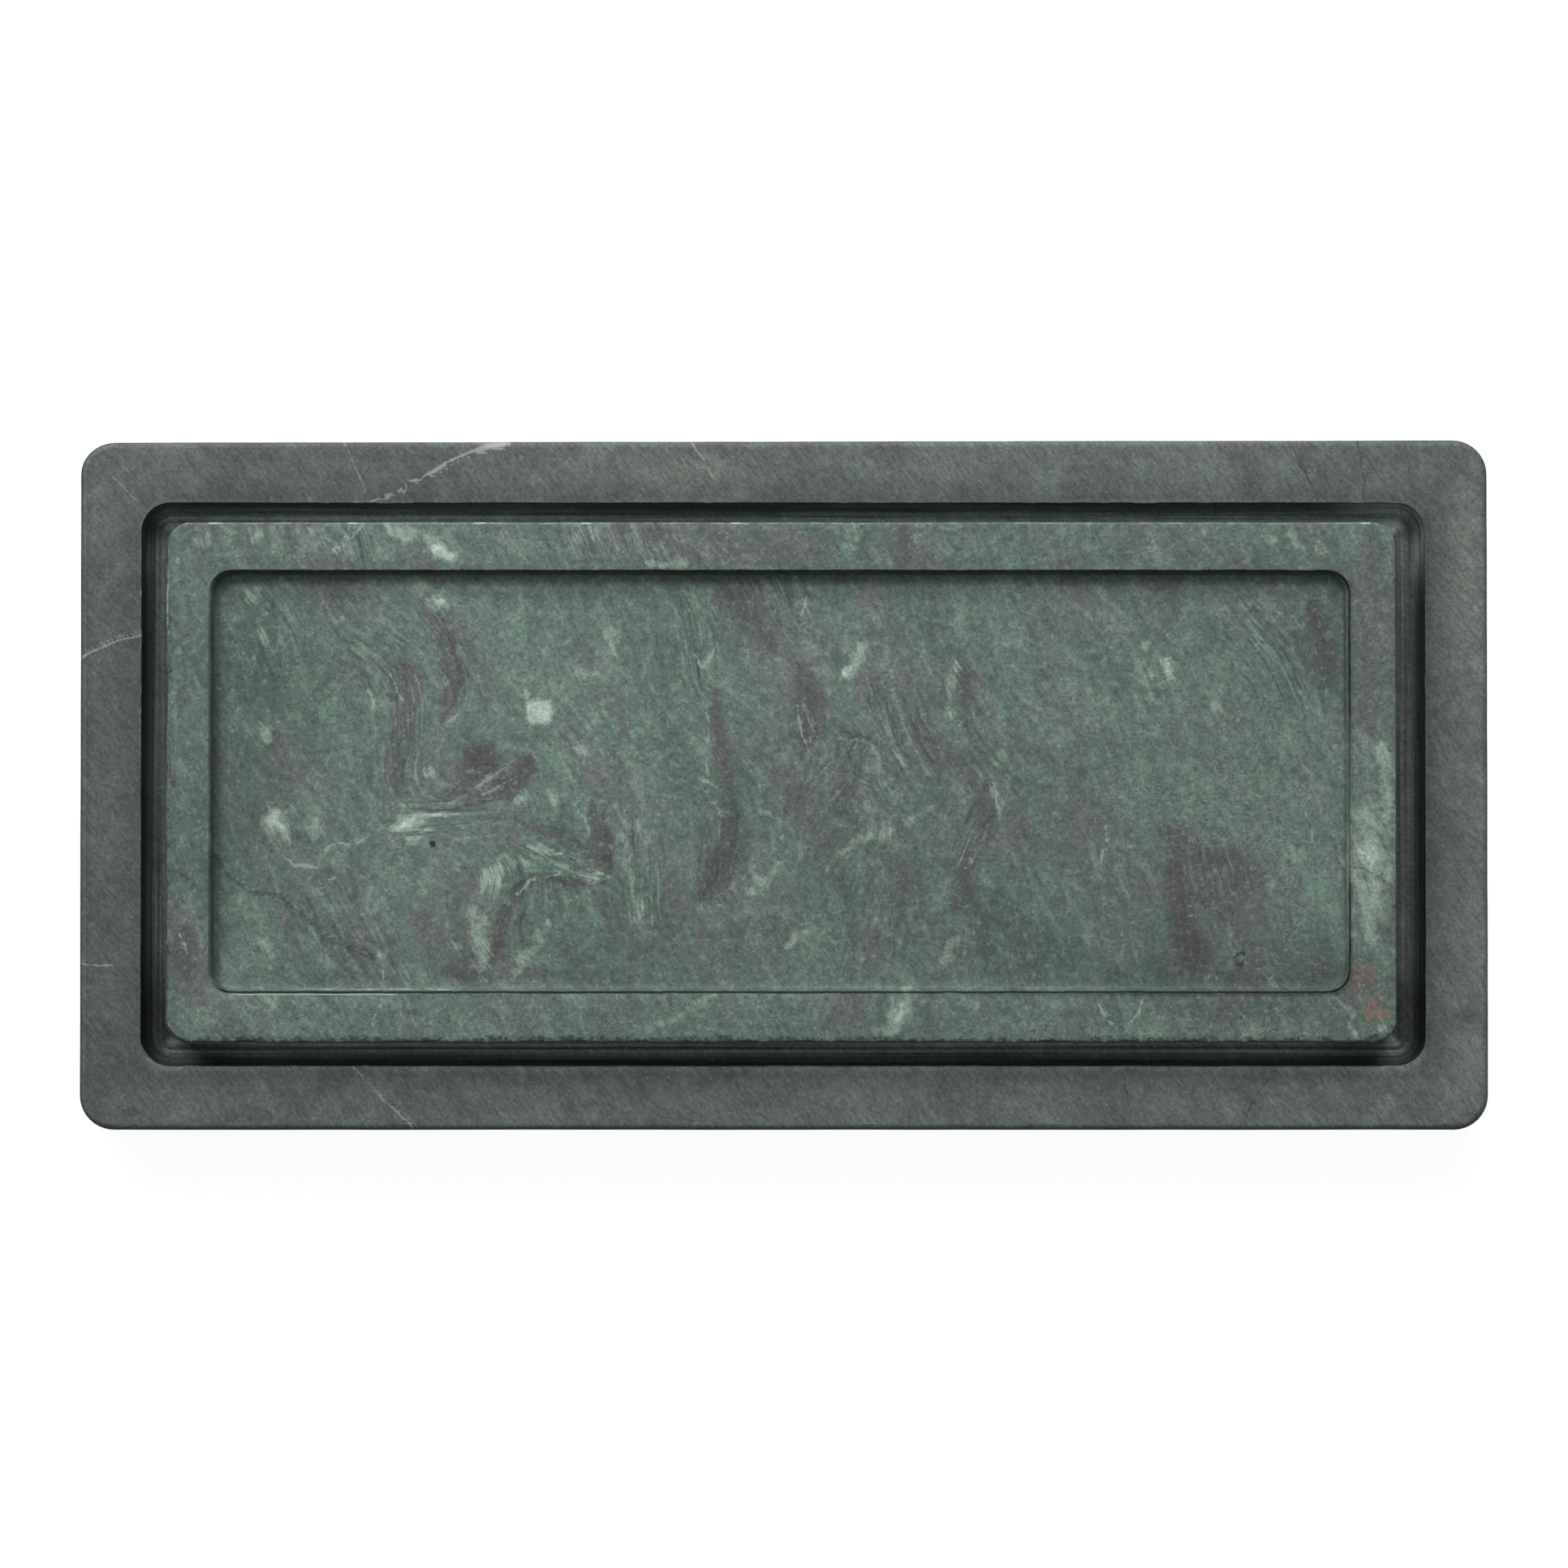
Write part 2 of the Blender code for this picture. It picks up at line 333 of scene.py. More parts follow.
def line_distance(pixels, line):
    """For each place: its distance from a line, on which side it lies, and how far along the line, 0 to 1."""
    ends = np.array(line, float)
    if len(ends) == 1:
        ends = np.concatenate((ends, ends + 0.01))
    lengths = np.linalg.norm(np.diff(ends, axis=0), axis=1)
    best = np.full(len(pixels), np.inf)
    signed, along = best.copy(), best.copy()
    passed = 0.0
    for start, end, length in zip(ends[:-1], ends[1:], lengths):
        run = end - start
        away = pixels - start
        share = np.clip(away @ run / (run @ run), 0, 1)
        gap = np.linalg.norm(away - share[:, None] * run, axis=1)
        side = np.where(run[0] * away[:, 1] - run[1] * away[:, 0] < 0, -1.0, 1.0)
        nearer = gap < best
        best[nearer] = gap[nearer]
        signed[nearer] = (gap * side)[nearer]
        along[nearer] = ((passed + share * length) / lengths.sum())[nearer]
        passed += length
    return best, signed, along


def patches(pixels, marks):
    """How strongly named soft marks cover each place. A mark is its half width, its strength and its line.

    The cover passes one half at the half width, where the material's own noise breaks the edge up.
    """
    places = drifted(pixels, MARK_SEED, MARK_DRIFT)
    total = np.zeros(len(pixels))
    for half_width, strength, *line in marks.values():
        gap, _, along = line_distance(places, line)
        narrowed = 1.0 if len(line) == 1 else END_WIDTH + MIDDLE_WIDER * (4 * along * (1 - along)) ** 0.5
        total = np.maximum(total, strength * (1 - smooth(0, 2 * half_width, gap / narrowed)))
    return total


def veins(pixels, marks, drift):
    """For thin named veins: the distance across the nearest one in pixels, and how sure it is there."""
    places = drifted(pixels, VEIN_SEED, drift)
    across = np.full(len(pixels), VEIN_LOST)
    sure = np.zeros(len(pixels))
    for strength, *line in marks.values():
        gap, signed, _ = line_distance(places, line)
        nearer = gap < np.abs(across)
        across[nearer] = signed[nearer]
        sure[nearer] = strength * (1 - smooth(VEIN_SURE, VEIN_LOST, gap[nearer]))
    return across, sure


def strands(pixels):
    """Places for the strands' noise, in metres, turned round named centres and set waving."""
    places = drifted(pixels, STRAND_SEED, STRAND_DRIFT) * (1, -1)
    for centre, radius, degrees in STRAND_TURNS.values():
        middle = np.array(centre) * (1, -1)
        across, up = (places - middle).T
        off_centre = np.linalg.norm(places - middle, axis=1)
        angle = -math.radians(degrees) * (1 - smooth(0.1 * radius, 1.25 * radius, off_centre))
        turned = (across * np.cos(angle) - up * np.sin(angle), across * np.sin(angle) + up * np.cos(angle))
        places = middle + np.stack(turned, axis=1)
    return places * PIXEL


def turned_strands(pixels):
    """Places for the strands' noise that are turned to named headings, and how much these count."""
    places = drifted(pixels, STRAND_SEED, STRAND_DRIFT) * (1, -1)
    edges = drifted(pixels, MARK_SEED, MARK_DRIFT)
    turned = places.copy()
    best, next_best = np.zeros(len(pixels)), np.zeros(len(pixels))
    for half_width, heading, *line in STRAND_HEADINGS.values():
        strength = 1 - smooth(0.4 * half_width, 1.6 * half_width, line_distance(edges, line)[0])
        stronger = strength > best
        angle = math.radians(GREEN_HEADING - heading)
        turn = np.array(((math.cos(angle), math.sin(angle)), (-math.sin(angle), math.cos(angle))))
        turned[stronger] = (places @ turn)[stronger]
        next_best = np.where(stronger, best, np.maximum(next_best, strength))
        best = np.maximum(best, strength)
    return turned * PIXEL, smooth(0, 0.6, best - next_best)


# Pattern of the green marble, given one by one. Places are pixels of the photograph. A mark is its half
# width, its strength and its line.

# Where the strands turn away from their usual heading: centre, radius, and degrees counterclockwise
STRAND_TURNS = dict(
    curved_band=((560, 790), 90, -14),
    fibre_bundle=((498, 890), 110, -22),
    wedge=((585, 960), 75, 62),
    arch=((608, 1112), 85, -52),
    top_middle=((868, 790), 80, -26),
    middle_band=((884, 1050), 85, -40),
    hook=((1062, 925), 42, -50),
    rim_v=((430, 664), 45, 24),
    front_rim=((1110, 1248), 60, -50),
)

# The strands' usual heading, in degrees counterclockwise from +X
GREEN_HEADING = -62

# Where the strands have a heading of their own: half width, degrees
# counterclockwise from +X, and line
STRAND_HEADINGS = dict(
    brush=(26, 6, (484, 1018), (600, 1004)),
    feather=(20, -26, (640, 1036), (700, 1054), (752, 1082)),
    feather_right=(30, -82, (786, 1000), (790, 1160)),
    middle_diagonal=(42, 66, (1010, 970), (980, 1110)),
    low_middle=(50, 76, (1086, 1060), (1080, 1200)),
    low_stroke=(40, 66, (1196, 1020), (1160, 1190)),
)

# Purple-brown stains
PURPLE = dict(
    curved_band=(13, 0.8, (524, 738), (538, 770), (556, 812), (560, 850), (548, 888)),
    curved_band_edge=(5, 1.2, (540, 762), (560, 800), (570, 835), (568, 870)),
    fibre_bundle=(17, 0.85, (497, 802), (508, 840), (503, 879), (490, 910), (486, 950), (494, 990)),
    bundle_head=(15, 0.9, (488, 836), (500, 828)),
    wedge_core=(19, 1.6, (580, 916), (590, 936), (604, 956)),
    wedge_left=(9, 0.8, (562, 934), (572, 962)),
    wedge_right=(15, 1.3, (606, 958), (636, 966), (648, 938)),
    wedge_foot=(11, 0.9, (540, 978), (600, 974), (642, 980)),
    vertical_fibres=(7, 0.6, (332, 735), (335, 790)),
    brown_bottom_left=(26, 0.6, (520, 1120), (540, 1160), (575, 1190)),
    under_leaf=(13, 0.8, (552, 1190), (600, 1196)),
    under_arch=(11, 1.0, (640, 1086), (624, 1120), (606, 1180)),
    arch_line=(6, 1.0, (634, 1092), (660, 1080), (700, 1084), (742, 1086)),
    beside_arch=(12, 0.7, (626, 1008), (650, 1012)),
    left_rim_low=(15, 1.0, (230, 1140), (234, 1204)),
    feather_wedge=(12, 1.2, (734, 996), (746, 1030), (752, 1070)),
    feather_line=(7, 1.0, (640, 1014), (684, 1024), (728, 1050), (756, 1078)),
    feather_vertical=(10, 0.7, (826, 1070), (822, 1180)),
    top_band=(20, 0.85, (900, 725), (925, 765), (960, 806)),
    top_band_low=(17, 1.1, (985, 830), (1000, 860), (996, 915)),
    top_band_branch=(13, 0.95, (888, 850), (882, 900), (890, 960)),
    middle_band=(18, 1.0, (898, 985), (902, 1030), (884, 1066), (862, 1106)),
    middle_band_top=(15, 0.85, (884, 930), (894, 990)),
    below_top_band=(26, 0.5, (985, 975), (1020, 1010), (1030, 1060), (1000, 1100)),
    low_middle=(18, 0.55, (1066, 1150), (1080, 1200)),
    right_stroke=(11, 0.8, (1192, 806), (1190, 860), (1197, 906)),
    long_stroke=(15, 0.9, (1214, 956), (1217, 1030), (1190, 1080), (1171, 1130)),
    low_stroke=(12, 0.6, (1212, 1125), (1206, 1180)),
    patch_upper=(24, 0.9, (1428, 1024), (1462, 1046), (1504, 1058)),
    patch_right=(28, 0.8, (1500, 1056), (1534, 1072), (1554, 1098)),
    patch_lower=(28, 0.75, (1466, 1090), (1524, 1112)),
    below_diagonal=(20, 0.7, (1096, 1050), (1116, 1076), (1104, 1120)),
    patch_tail=(17, 1.3, (1444, 1060), (1454, 1130), (1470, 1195)),
    patch_foot=(15, 0.8, (1480, 1160), (1484, 1196)),
    brown_far_right=(15, 1.0, (1626, 745), (1636, 840)),
    back_rim_first=(12, 0.8, (1112, 650), (1112, 694)),
    back_rim_second=(16, 0.6, (1376, 690), (1400, 660)),
    right_rim_streak=(12, 0.6, (1682, 760), (1690, 900)),
    right_rim_foot=(14, 0.6, (1676, 1205), (1700, 1216)),
    corner_low_right=(14, 0.6, (1610, 1190), (1650, 1196)),
)

# Wide zones where the green turns to grey-brown
HAZE = dict(
    middle_top=(55, 0.85, (915, 720), (960, 800), (1005, 870)),
    middle=(55, 0.6, (960, 900), (1040, 960), (1060, 1040)),
    middle_low=(50, 0.6, (1090, 1010), (1110, 1100), (1060, 1190)),
    stroke=(30, 0.5, (1190, 800), (1204, 960), (1200, 1120)),
    right_low=(46, 0.6, (1350, 960), (1380, 1100), (1370, 1200)),
    patch=(52, 0.9, (1440, 1040), (1530, 1090), (1480, 1190)),
    top_right=(36, 0.6, (1352, 730), (1380, 790)),
    top_far_right=(40, 0.6, (1500, 740), (1640, 800)),
    back_rim_right=(28, 0.7, (1360, 665), (1500, 672)),
    back_rim_band=(26, 0.7, (1112, 650), (1112, 694)),
    back_rim_middle=(30, 1.0, (720, 662), (1010, 668)),
    below_middle_band=(60, 0.7, (870, 1010), (960, 1190)),
    low_right_wide=(50, 0.9, (1440, 1175), (1570, 1200)),
    right_rim_top=(30, 0.95, (1690, 670), (1692, 930)),
    right_rim_foot=(26, 0.8, (1676, 1200), (1700, 1240)),
    left_rim_low=(22, 0.8, (230, 1120), (232, 1200)),
    bottom_left=(50, 0.75, (520, 1110), (620, 1200)),
    left_middle=(40, 0.5, (450, 1000), (540, 1080)),
    curved=(30, 0.6, (560, 760), (560, 880)),
    bundle=(34, 0.7, (505, 820), (492, 980), (600, 985)),
    front_rim_right=(22, 0.6, (1420, 1252), (1650, 1256)),
    low_right=(28, 0.6, (1560, 1170), (1640, 1200)),
)

# Pale inclusions and clouds
PALE = dict(
    cloud_top_left=(13, 0.9, (302, 738)),
    streak_top_left=(8, 1.0, (316, 780), (320, 800)),
    small_left=(8, 0.9, (325, 893), (326, 912)),
    pair_first=(12, 1.1, (518, 725)),
    pair_second=(13, 1.1, (541, 742)),
    spot_above=(5, 0.8, (640, 850), (648, 862)),
    hook_first=(9, 0.9, (480, 650), (526, 657)),
    hook_second=(10, 1.1, (526, 658), (538, 676), (556, 678)),
    hook_below=(9, 0.8, (484, 686)),
    rim_streak_first=(11, 0.7, (246, 664)),
    rim_streak_second=(9, 0.8, (308, 664), (326, 648)),
    rim_dust_left=(7, 0.55, (262, 648), (420, 650)),
    cloud_bottom_left=(20, 1.2, (349, 1014)),
    cloud_beside=(17, 0.85, (392, 1014)),
    brush_core=(11, 1.1, (484, 1016), (526, 1009)),
    brush_tail=(6, 1.0, (521, 1009), (566, 1004)),
    brush_fringe=(8, 0.95, (498, 1030), (512, 1036)),
    brush_line=(3, 0.9, (512, 1026), (540, 1027)),
    wedge_tip=(7, 0.9, (636, 985), (652, 980)),
    wedge_dot=(9, 0.9, (684, 980)),
    bundle_pale=(10, 0.7, (522, 940), (528, 956)),
    leaf_first=(13, 0.8, (588, 1112), (594, 1146), (598, 1190)),
    leaf_lobe=(11, 0.8, (566, 1164)),
    leaf_second=(11, 0.75, (674, 1130), (664, 1160), (640, 1202)),
    arch_sheen=(10, 0.6, (596, 1088), (618, 1066), (640, 1062)),
    feather_leaf=(6, 0.9, (640, 1038), (690, 1052), (748, 1080)),
    feather_tip=(8, 1.0, (722, 1066), (750, 1080)),
    streak_top_middle=(9, 0.8, (761, 778), (761, 824)),
    spot_top_middle=(9, 0.7, (709, 826), (736, 838)),
    blob_top_middle=(14, 0.65, (741, 872), (732, 900)),
    spot_below=(10, 0.75, (720, 926)),
    blob_upper=(11, 0.9, (1068, 794), (1052, 815), (1038, 838)),
    blob_foot=(10, 1.0, (1036, 832), (1058, 824)),
    patch_middle=(11, 0.75, (960, 1052), (940, 1078), (916, 1100)),
    vertical_second=(8, 0.65, (780, 1066), (786, 1135)),
    vertical_third=(7, 0.6, (806, 1092), (805, 1156)),
    green_dot=(9, 0.7, (830, 940)),
    dot_low=(9, 0.65, (858, 966)),
    dot_lower=(9, 0.65, (943, 996)),
    diagonal_middle=(7, 0.75, (1160, 990), (1104, 1022), (1046, 1048), (1010, 1080)),
    low_diagonal=(8, 0.85, (990, 1140), (972, 1164)),
    low_diagonal_right=(9, 0.7, (1180, 1158), (1152, 1204)),
    stroke_streak=(8, 0.75, (1186, 812), (1170, 856), (1166, 886)),
    stroke_spot=(10, 0.75, (1226, 925)),
    stroke_line=(5, 0.8, (1223, 960), (1233, 992)),
    cloud_right=(34, 0.45, (1400, 830), (1440, 880)),
    round_right=(10, 0.95, (1408, 803), (1418, 810)),
    short_right=(7, 1.1, (1443, 820), (1445, 846)),
    small_right=(11, 0.8, (1502, 866)),
    line_right=(5, 0.7, (1320, 850), (1322, 880)),
    low_right_cloud=(16, 0.85, (1601, 1048)),
    back_rim_fibres=(9, 0.7, (716, 650), (740, 676)),
    back_rim_chip_first=(7, 0.9, (800, 696), (846, 694)),
    back_rim_dust=(14, 0.7, (1040, 652), (1056, 660)),
    back_rim_right_curve=(9, 0.6, (1540, 690), (1580, 664), (1620, 656)),
    back_rim_right_crinkle=(6, 1.0, (1629, 664), (1634, 682)),
    front_rim_band=(13, 1.0, (1122, 1226), (1106, 1254), (1086, 1274)),
    front_rim_curve=(8, 0.85, (886, 1230), (839, 1257), (820, 1264)),
    front_rim_right_spot=(9, 0.8, (1204, 1233), (1186, 1240)),
    front_rim_left_spot=(10, 0.7, (344, 1236)),
    right_rim_patch=(30, 0.95, (1692, 994), (1690, 1060), (1694, 1108)),
    right_rim_patch_low=(24, 0.75, (1694, 1080), (1694, 1156)),
    right_rim_above=(9, 0.85, (1708, 918), (1713, 960), (1714, 1000)),
    right_rim_low_streak=(8, 0.9, (1655, 1234), (1676, 1258)),
    right_rim_low_curve=(6, 0.9, (1666, 1262), (1674, 1282)),
    right_rim_corner=(9, 1.0, (1702, 1276), (1714, 1268)),
    front_rim_corner_crinkle=(8, 0.7, (1530, 1278), (1548, 1266)),
    green_left_first=(13, 0.6, (286, 1104), (300, 1112)),
    green_left_second=(16, 0.6, (318, 1158), (336, 1196)),
)

# Marks that come near to white, within pale ones
BRIGHT = dict(
    pair_second=(7, 0.9, (543, 743)),
    hook=(6, 1.0, (530, 664), (540, 678), (552, 678)),
    cloud_bottom_left=(13, 0.95, (348, 1013)),
    brush_core=(5, 0.8, (490, 1016), (518, 1011)),
    brush_tail=(3, 0.8, (525, 1010), (546, 1007)),
    feather_leaf=(4, 0.9, (672, 1044), (692, 1052)),
    feather_tip=(4, 0.8, (728, 1068), (746, 1078)),
    blob_upper=(8, 0.9, (1048, 820), (1040, 834)),
    short_right=(4, 0.9, (1443, 824), (1445, 842)),
    back_rim_dust=(5, 0.8, (1046, 650), (1054, 656)),
    front_rim_band=(6, 0.8, (1114, 1238), (1100, 1262)),
    right_rim_patch=(16, 0.55, (1684, 1028), (1692, 1052)),
    right_rim_corner=(5, 0.8, (1706, 1276)),
    right_rim_low_curve=(4, 0.8, (1670, 1270), (1674, 1280)),
    round_right=(5, 0.7, (1410, 804), (1416, 808)),
)

# Where the strands show as fibres
FIBROUS = dict(
    left_top=(36, 0.7, (300, 740), (340, 820)),
    top_left_slant=(44, 0.7, (410, 740), (470, 850)),
    bundle=(32, 1.1, (497, 790), (500, 880), (488, 970)),
    curved=(24, 1.1, (530, 745), (566, 850)),
    under_wedge=(24, 1.1, (505, 965), (545, 990), (600, 985)),
    brush=(20, 0.8, (500, 1030), (600, 1005)),
    arch=(28, 1.0, (590, 1090), (640, 1060), (740, 1080)),
    under_arch=(24, 0.8, (640, 1100), (606, 1190)),
    feather_right=(32, 0.75, (780, 1010), (794, 1150)),
    left_of_band=(24, 1.2, (862, 720), (868, 850)),
    top_band=(40, 0.9, (920, 720), (990, 770)),
    middle_band=(32, 0.8, (900, 980), (870, 1110)),
    middle=(50, 0.75, (1000, 880), (1050, 960), (1090, 1040)),
    right_of_middle=(42, 0.85, (1080, 850), (1140, 940)),
    low_middle=(50, 0.65, (1040, 1090), (1110, 1190)),
    stroke=(30, 0.7, (1190, 820), (1214, 960), (1190, 1100)),
    top_far_right=(56, 0.8, (1530, 740), (1600, 850)),
    back_rim_left=(28, 0.8, (415, 665), (470, 680)),
    back_rim_middle=(22, 0.7, (690, 670), (900, 670)),
    patch=(46, 0.7, (1440, 1020), (1530, 1090)),
    bottom_left=(44, 0.7, (380, 1100), (480, 1190)),
)

# Where light crinkles make a net
CRINKLED = dict(
    right_net=(46, 1.25, (1370, 970), (1450, 990), (1610, 985)),
    right_upper=(44, 0.95, (1480, 900), (1620, 900)),
    front_rim=(18, 0.8, (300, 1255), (1000, 1255)),
    front_rim_right=(17, 0.85, (1200, 1262), (1640, 1268)),
    left_dish=(36, 0.6, (300, 1150), (340, 1180)),
    around_spot=(34, 0.6, (700, 830), (800, 850)),
    low_right=(44, 1.0, (1560, 1040), (1640, 1120)),
    wisps=(22, 0.6, (330, 1050), (430, 1040)),
    patch_middle=(26, 0.6, (1220, 1060), (1260, 1060)),
)

# Where the green is stronger
GREENER = dict(
    left_wisps=(50, 0.8, (370, 1000), (420, 1060)),
    right_upper=(45, 0.8, (1450, 830), (1500, 880)),
    far_right_middle=(45, 0.8, (1550, 960), (1600, 1060)),
    left_half_cloud=(55, 0.5, (400, 850), (440, 900), (470, 860)),
    left_low_cloud=(34, 0.7, (280, 1080), (330, 1190)),
    around_square_spot=(55, 0.5, (640, 860), (690, 930)),
    arch=(14, 0.9, (596, 1078), (628, 1056), (680, 1070)),
    below_spot=(34, 0.6, (670, 1000), (700, 960)),
    beside_feather=(36, 0.5, (700, 1100), (770, 1180)),
    top_middle=(55, 0.5, (740, 850), (830, 900)),
    green_dot=(10, 0.9, (830, 940)),
    left_of_band=(18, 0.7, (866, 720), (866, 850)),
    back_rim_green=(26, 0.6, (1047, 652)),
    back_rim_right=(26, 0.6, (1180, 670), (1300, 670)),
    beside_right_stroke=(36, 0.5, (1240, 900), (1280, 980)),
    right_cloud=(50, 0.5, (1290, 900), (1420, 930)),
    far_right_cloud=(44, 0.7, (1560, 860), (1630, 960)),
    far_right_low=(36, 0.8, (1590, 1030), (1640, 1120)),
    low_right=(20, 0.9, (1499, 1171)),
    low_middle_right=(34, 0.6, (1280, 1130), (1300, 1180)),
    low_stroke=(20, 0.6, (1150, 1120), (1140, 1180)),
    front_rim_left=(24, 0.5, (260, 1250), (420, 1250)),
    front_rim_right=(22, 0.7, (1220, 1245), (1330, 1250)),
    right_rim=(12, 0.7, (1706, 1100), (1708, 1180)),
)

# Broad zones that are lighter or darker than the rest
GREEN_LIGHTER = dict(
    left_top=(50, 1.1, (480, 776)),
    top_middle_right=(40, 0.9, (1040, 730), (1080, 760)),
    right_side=(40, 1.0, (1290, 900), (1310, 930)),
    stroke_right=(36, 0.8, (1200, 1040), (1240, 1050)),
    beside_band=(40, 0.7, (905, 1040), (950, 1090)),
    beside_blob=(40, 0.9, (1060, 870), (1090, 900)),
    left_centre=(84, 1.1, (490, 740), (530, 900), (500, 1180)),
    centre=(95, 1.3, (560, 730), (680, 860), (740, 1040)),
    top=(50, 0.7, (600, 730), (830, 750)),
    upper_middle=(60, 1.1, (850, 860), (980, 840), (1090, 810)),
    right_top=(66, 1.0, (1200, 740), (1290, 800), (1300, 920)),
    right=(60, 0.6, (1370, 880), (1470, 890)),
    far_right=(30, 1.0, (1630, 870), (1636, 1160)),
    back_rim=(36, 0.8, (380, 664), (720, 668)),
    right_rim=(30, 0.6, (1694, 900), (1694, 1110)),
    below_centre=(50, 1.2, (540, 1050), (620, 1016), (700, 940), (780, 1016), (850, 1060)),
    beside_dots=(42, 1.1, (876, 900)),
    corner_low_left=(34, 1.2, (286, 1205)),
)

GREEN_DARKER = dict(
    left_top=(44, 1.6, (280, 776), (310, 850), (390, 850)),
    left=(48, 1.0, (286, 760), (330, 860), (310, 960), (286, 1100)),
    green_low=(44, 0.6, (700, 1140), (800, 1180)),
    middle_low=(44, 0.6, (1040, 980), (1060, 1060)),
    low_right=(50, 1.6, (1380, 1200), (1500, 1215), (1670, 1206)),
    low_stroke=(50, 1.5, (1200, 1110), (1300, 1180)),
    far_right_top=(30, 0.9, (1640, 760), (1640, 860)),
    left_rim=(26, 0.8, (232, 980), (232, 1090)),
    front_rim=(34, 0.6, (730, 1250), (800, 1250)),
    front_rim_right=(34, 0.7, (1570, 1256), (1650, 1250)),
    second_low=(42, 1.2, (1300, 1160)),
    left_low=(30, 1.1, (284, 1095)),
)

# Reddish stains
RUST = dict(
    right_rim_first=(15, 0.9, (1674, 1193), (1702, 1198)),
    right_rim_second=(16, 1.05, (1690, 1242), (1712, 1252)),
    right_rim_between=(10, 0.45, (1684, 1206), (1696, 1236)),
)

# Thin light and dark veins: strength and line
GREEN_PALE_VEINS = dict(
    rim_v_left=(0.8, (431, 646), (411, 674), (426, 698)),
    rim_v_right=(0.7, (446, 648), (420, 672)),
    below_curved_band=(0.9, (567, 876), (540, 903)),
    fibre_second=(0.8, (483, 838), (500, 862)),
    crinkle_first=(0.9, (452, 850), (460, 863), (462, 876)),
    wisp_upper=(1.4, (399, 1047), (414, 1038), (430, 1040), (449, 1033)),
    wisp_lower=(1.5, (347, 1056), (359, 1066), (370, 1064), (388, 1064)),
    hook_outer=(0.62, (1040, 911), (1060, 909), (1074, 917), (1083, 933), (1080, 958)),
    wisp_second_small=(0.8, (402, 1081), (412, 1080)),
    wedge_arc=(0.7, (510, 950), (528, 980), (560, 988), (600, 980), (640, 960)),
    wedge_cross=(0.7, (590, 974), (614, 958), (636, 938)),
    y_stem=(0.85, (466, 1174), (472, 1193), (469, 1218)),
    y_branch=(0.7, (491, 1174), (506, 1205)),
    y_on_rim=(0.7, (469, 1232), (463, 1266)),
    left_rim_vein=(0.9, (222, 1142), (230, 1160), (232, 1168)),
    front_rim_line=(0.6, (588, 1240), (558, 1272)),
    arch_upper=(0.7, (600, 1070), (630, 1054), (664, 1060), (700, 1070)),
    arch_lower=(0.8, (636, 1104), (652, 1086), (690, 1076), (730, 1080)),
    top_v=(0.9, (853, 803), (861, 831), (882, 799)),
    top_thin_first=(0.6, (873, 730), (873, 760)),
    top_thin_second=(0.8, (992, 736), (988, 760)),
    ragged_line=(0.7, (870, 870), (876, 895), (869, 925), (874, 952)),
    below_band=(0.8, (982, 870), (988, 905), (996, 920)),
    low_thin_first=(0.8, (706, 988), (723, 1027)),
    low_thin_second=(0.7, (876, 991), (888, 1006)),
    low_thin_long=(0.6, (965, 1024), (916, 1085), (876, 1112)),
    beside_stroke_line=(0.9, (1222, 958), (1232, 985), (1236, 1006)),
    right_thin_vertical=(0.9, (1360, 1018), (1358, 1058)),
    right_curve=(0.7, (1606, 1000), (1616, 1020), (1614, 1036)),
    front_rim_curve_first=(1.0, (1353, 1240), (1360, 1254), (1374, 1268)),
    front_rim_curve_second=(0.9, (1408, 1234), (1400, 1252), (1388, 1262)),
    right_rim_crack_pale=(0.5, (1690, 1085), (1715, 1095)),
    left_edge=(1.2, (204, 690), (204, 740), (207, 801)),
    left_edge_low=(1.1, (206, 890), (209, 925), (212, 960)),
)

GREEN_DARK_VEINS = dict(
    curved_band_edge=(0.7, (548, 778), (563, 812), (571, 850), (567, 872)),
    bundle_edge=(0.6, (500, 866), (487, 890), (479, 925)),
    feather_line=(0.9, (664, 1018), (690, 1024), (712, 1038), (746, 1064)),
    feather_side=(0.8, (741, 1000), (747, 1030), (752, 1070)),
    arch_line=(0.8, (632, 1094), (655, 1081), (700, 1083), (744, 1088)),
    middle_band_edge=(0.7, (908, 1000), (904, 1036), (886, 1068), (864, 1110)),
    long_stroke_edge=(0.5, (1224, 960), (1224, 1020), (1200, 1080)),
    long_left=(1.4, (262, 1056), (301, 1095), (322, 1095), (344, 1099), (371, 1128), (399, 1153),
               (426, 1168), (457, 1180)),
    hook_dark=(0.9, (1038, 902), (1062, 904), (1079, 917)),
    hook_inner=(0.9, (1042, 920), (1054, 938), (1055, 958), (1042, 978)),
    left_rim_dark=(0.8, (228, 1082), (258, 1099)),
    under_crinkle=(0.8, (470, 842), (482, 858), (492, 862)),
    beside_leaf=(0.6, (641, 1101), (626, 1140), (610, 1174)),
    left_fibre_first=(0.7, (336, 740), (338, 800)),
    big_patch_crack=(0.7, (1480, 1110), (1500, 1124), (1512, 1138)),
    right_rim_crack=(0.8, (1668, 1072), (1694, 1078), (1716, 1094)),
    right_rim_low_crack=(0.8, (1706, 1148), (1718, 1158)),
    second_right=(0.6, (1255, 978), (1262, 1002)),
    patch_top_crack=(0.6, (1424, 1036), (1440, 1056)),
    left_edge=(1.3, (209, 765), (204, 820), (205, 874), (209, 937), (212, 970)),
)

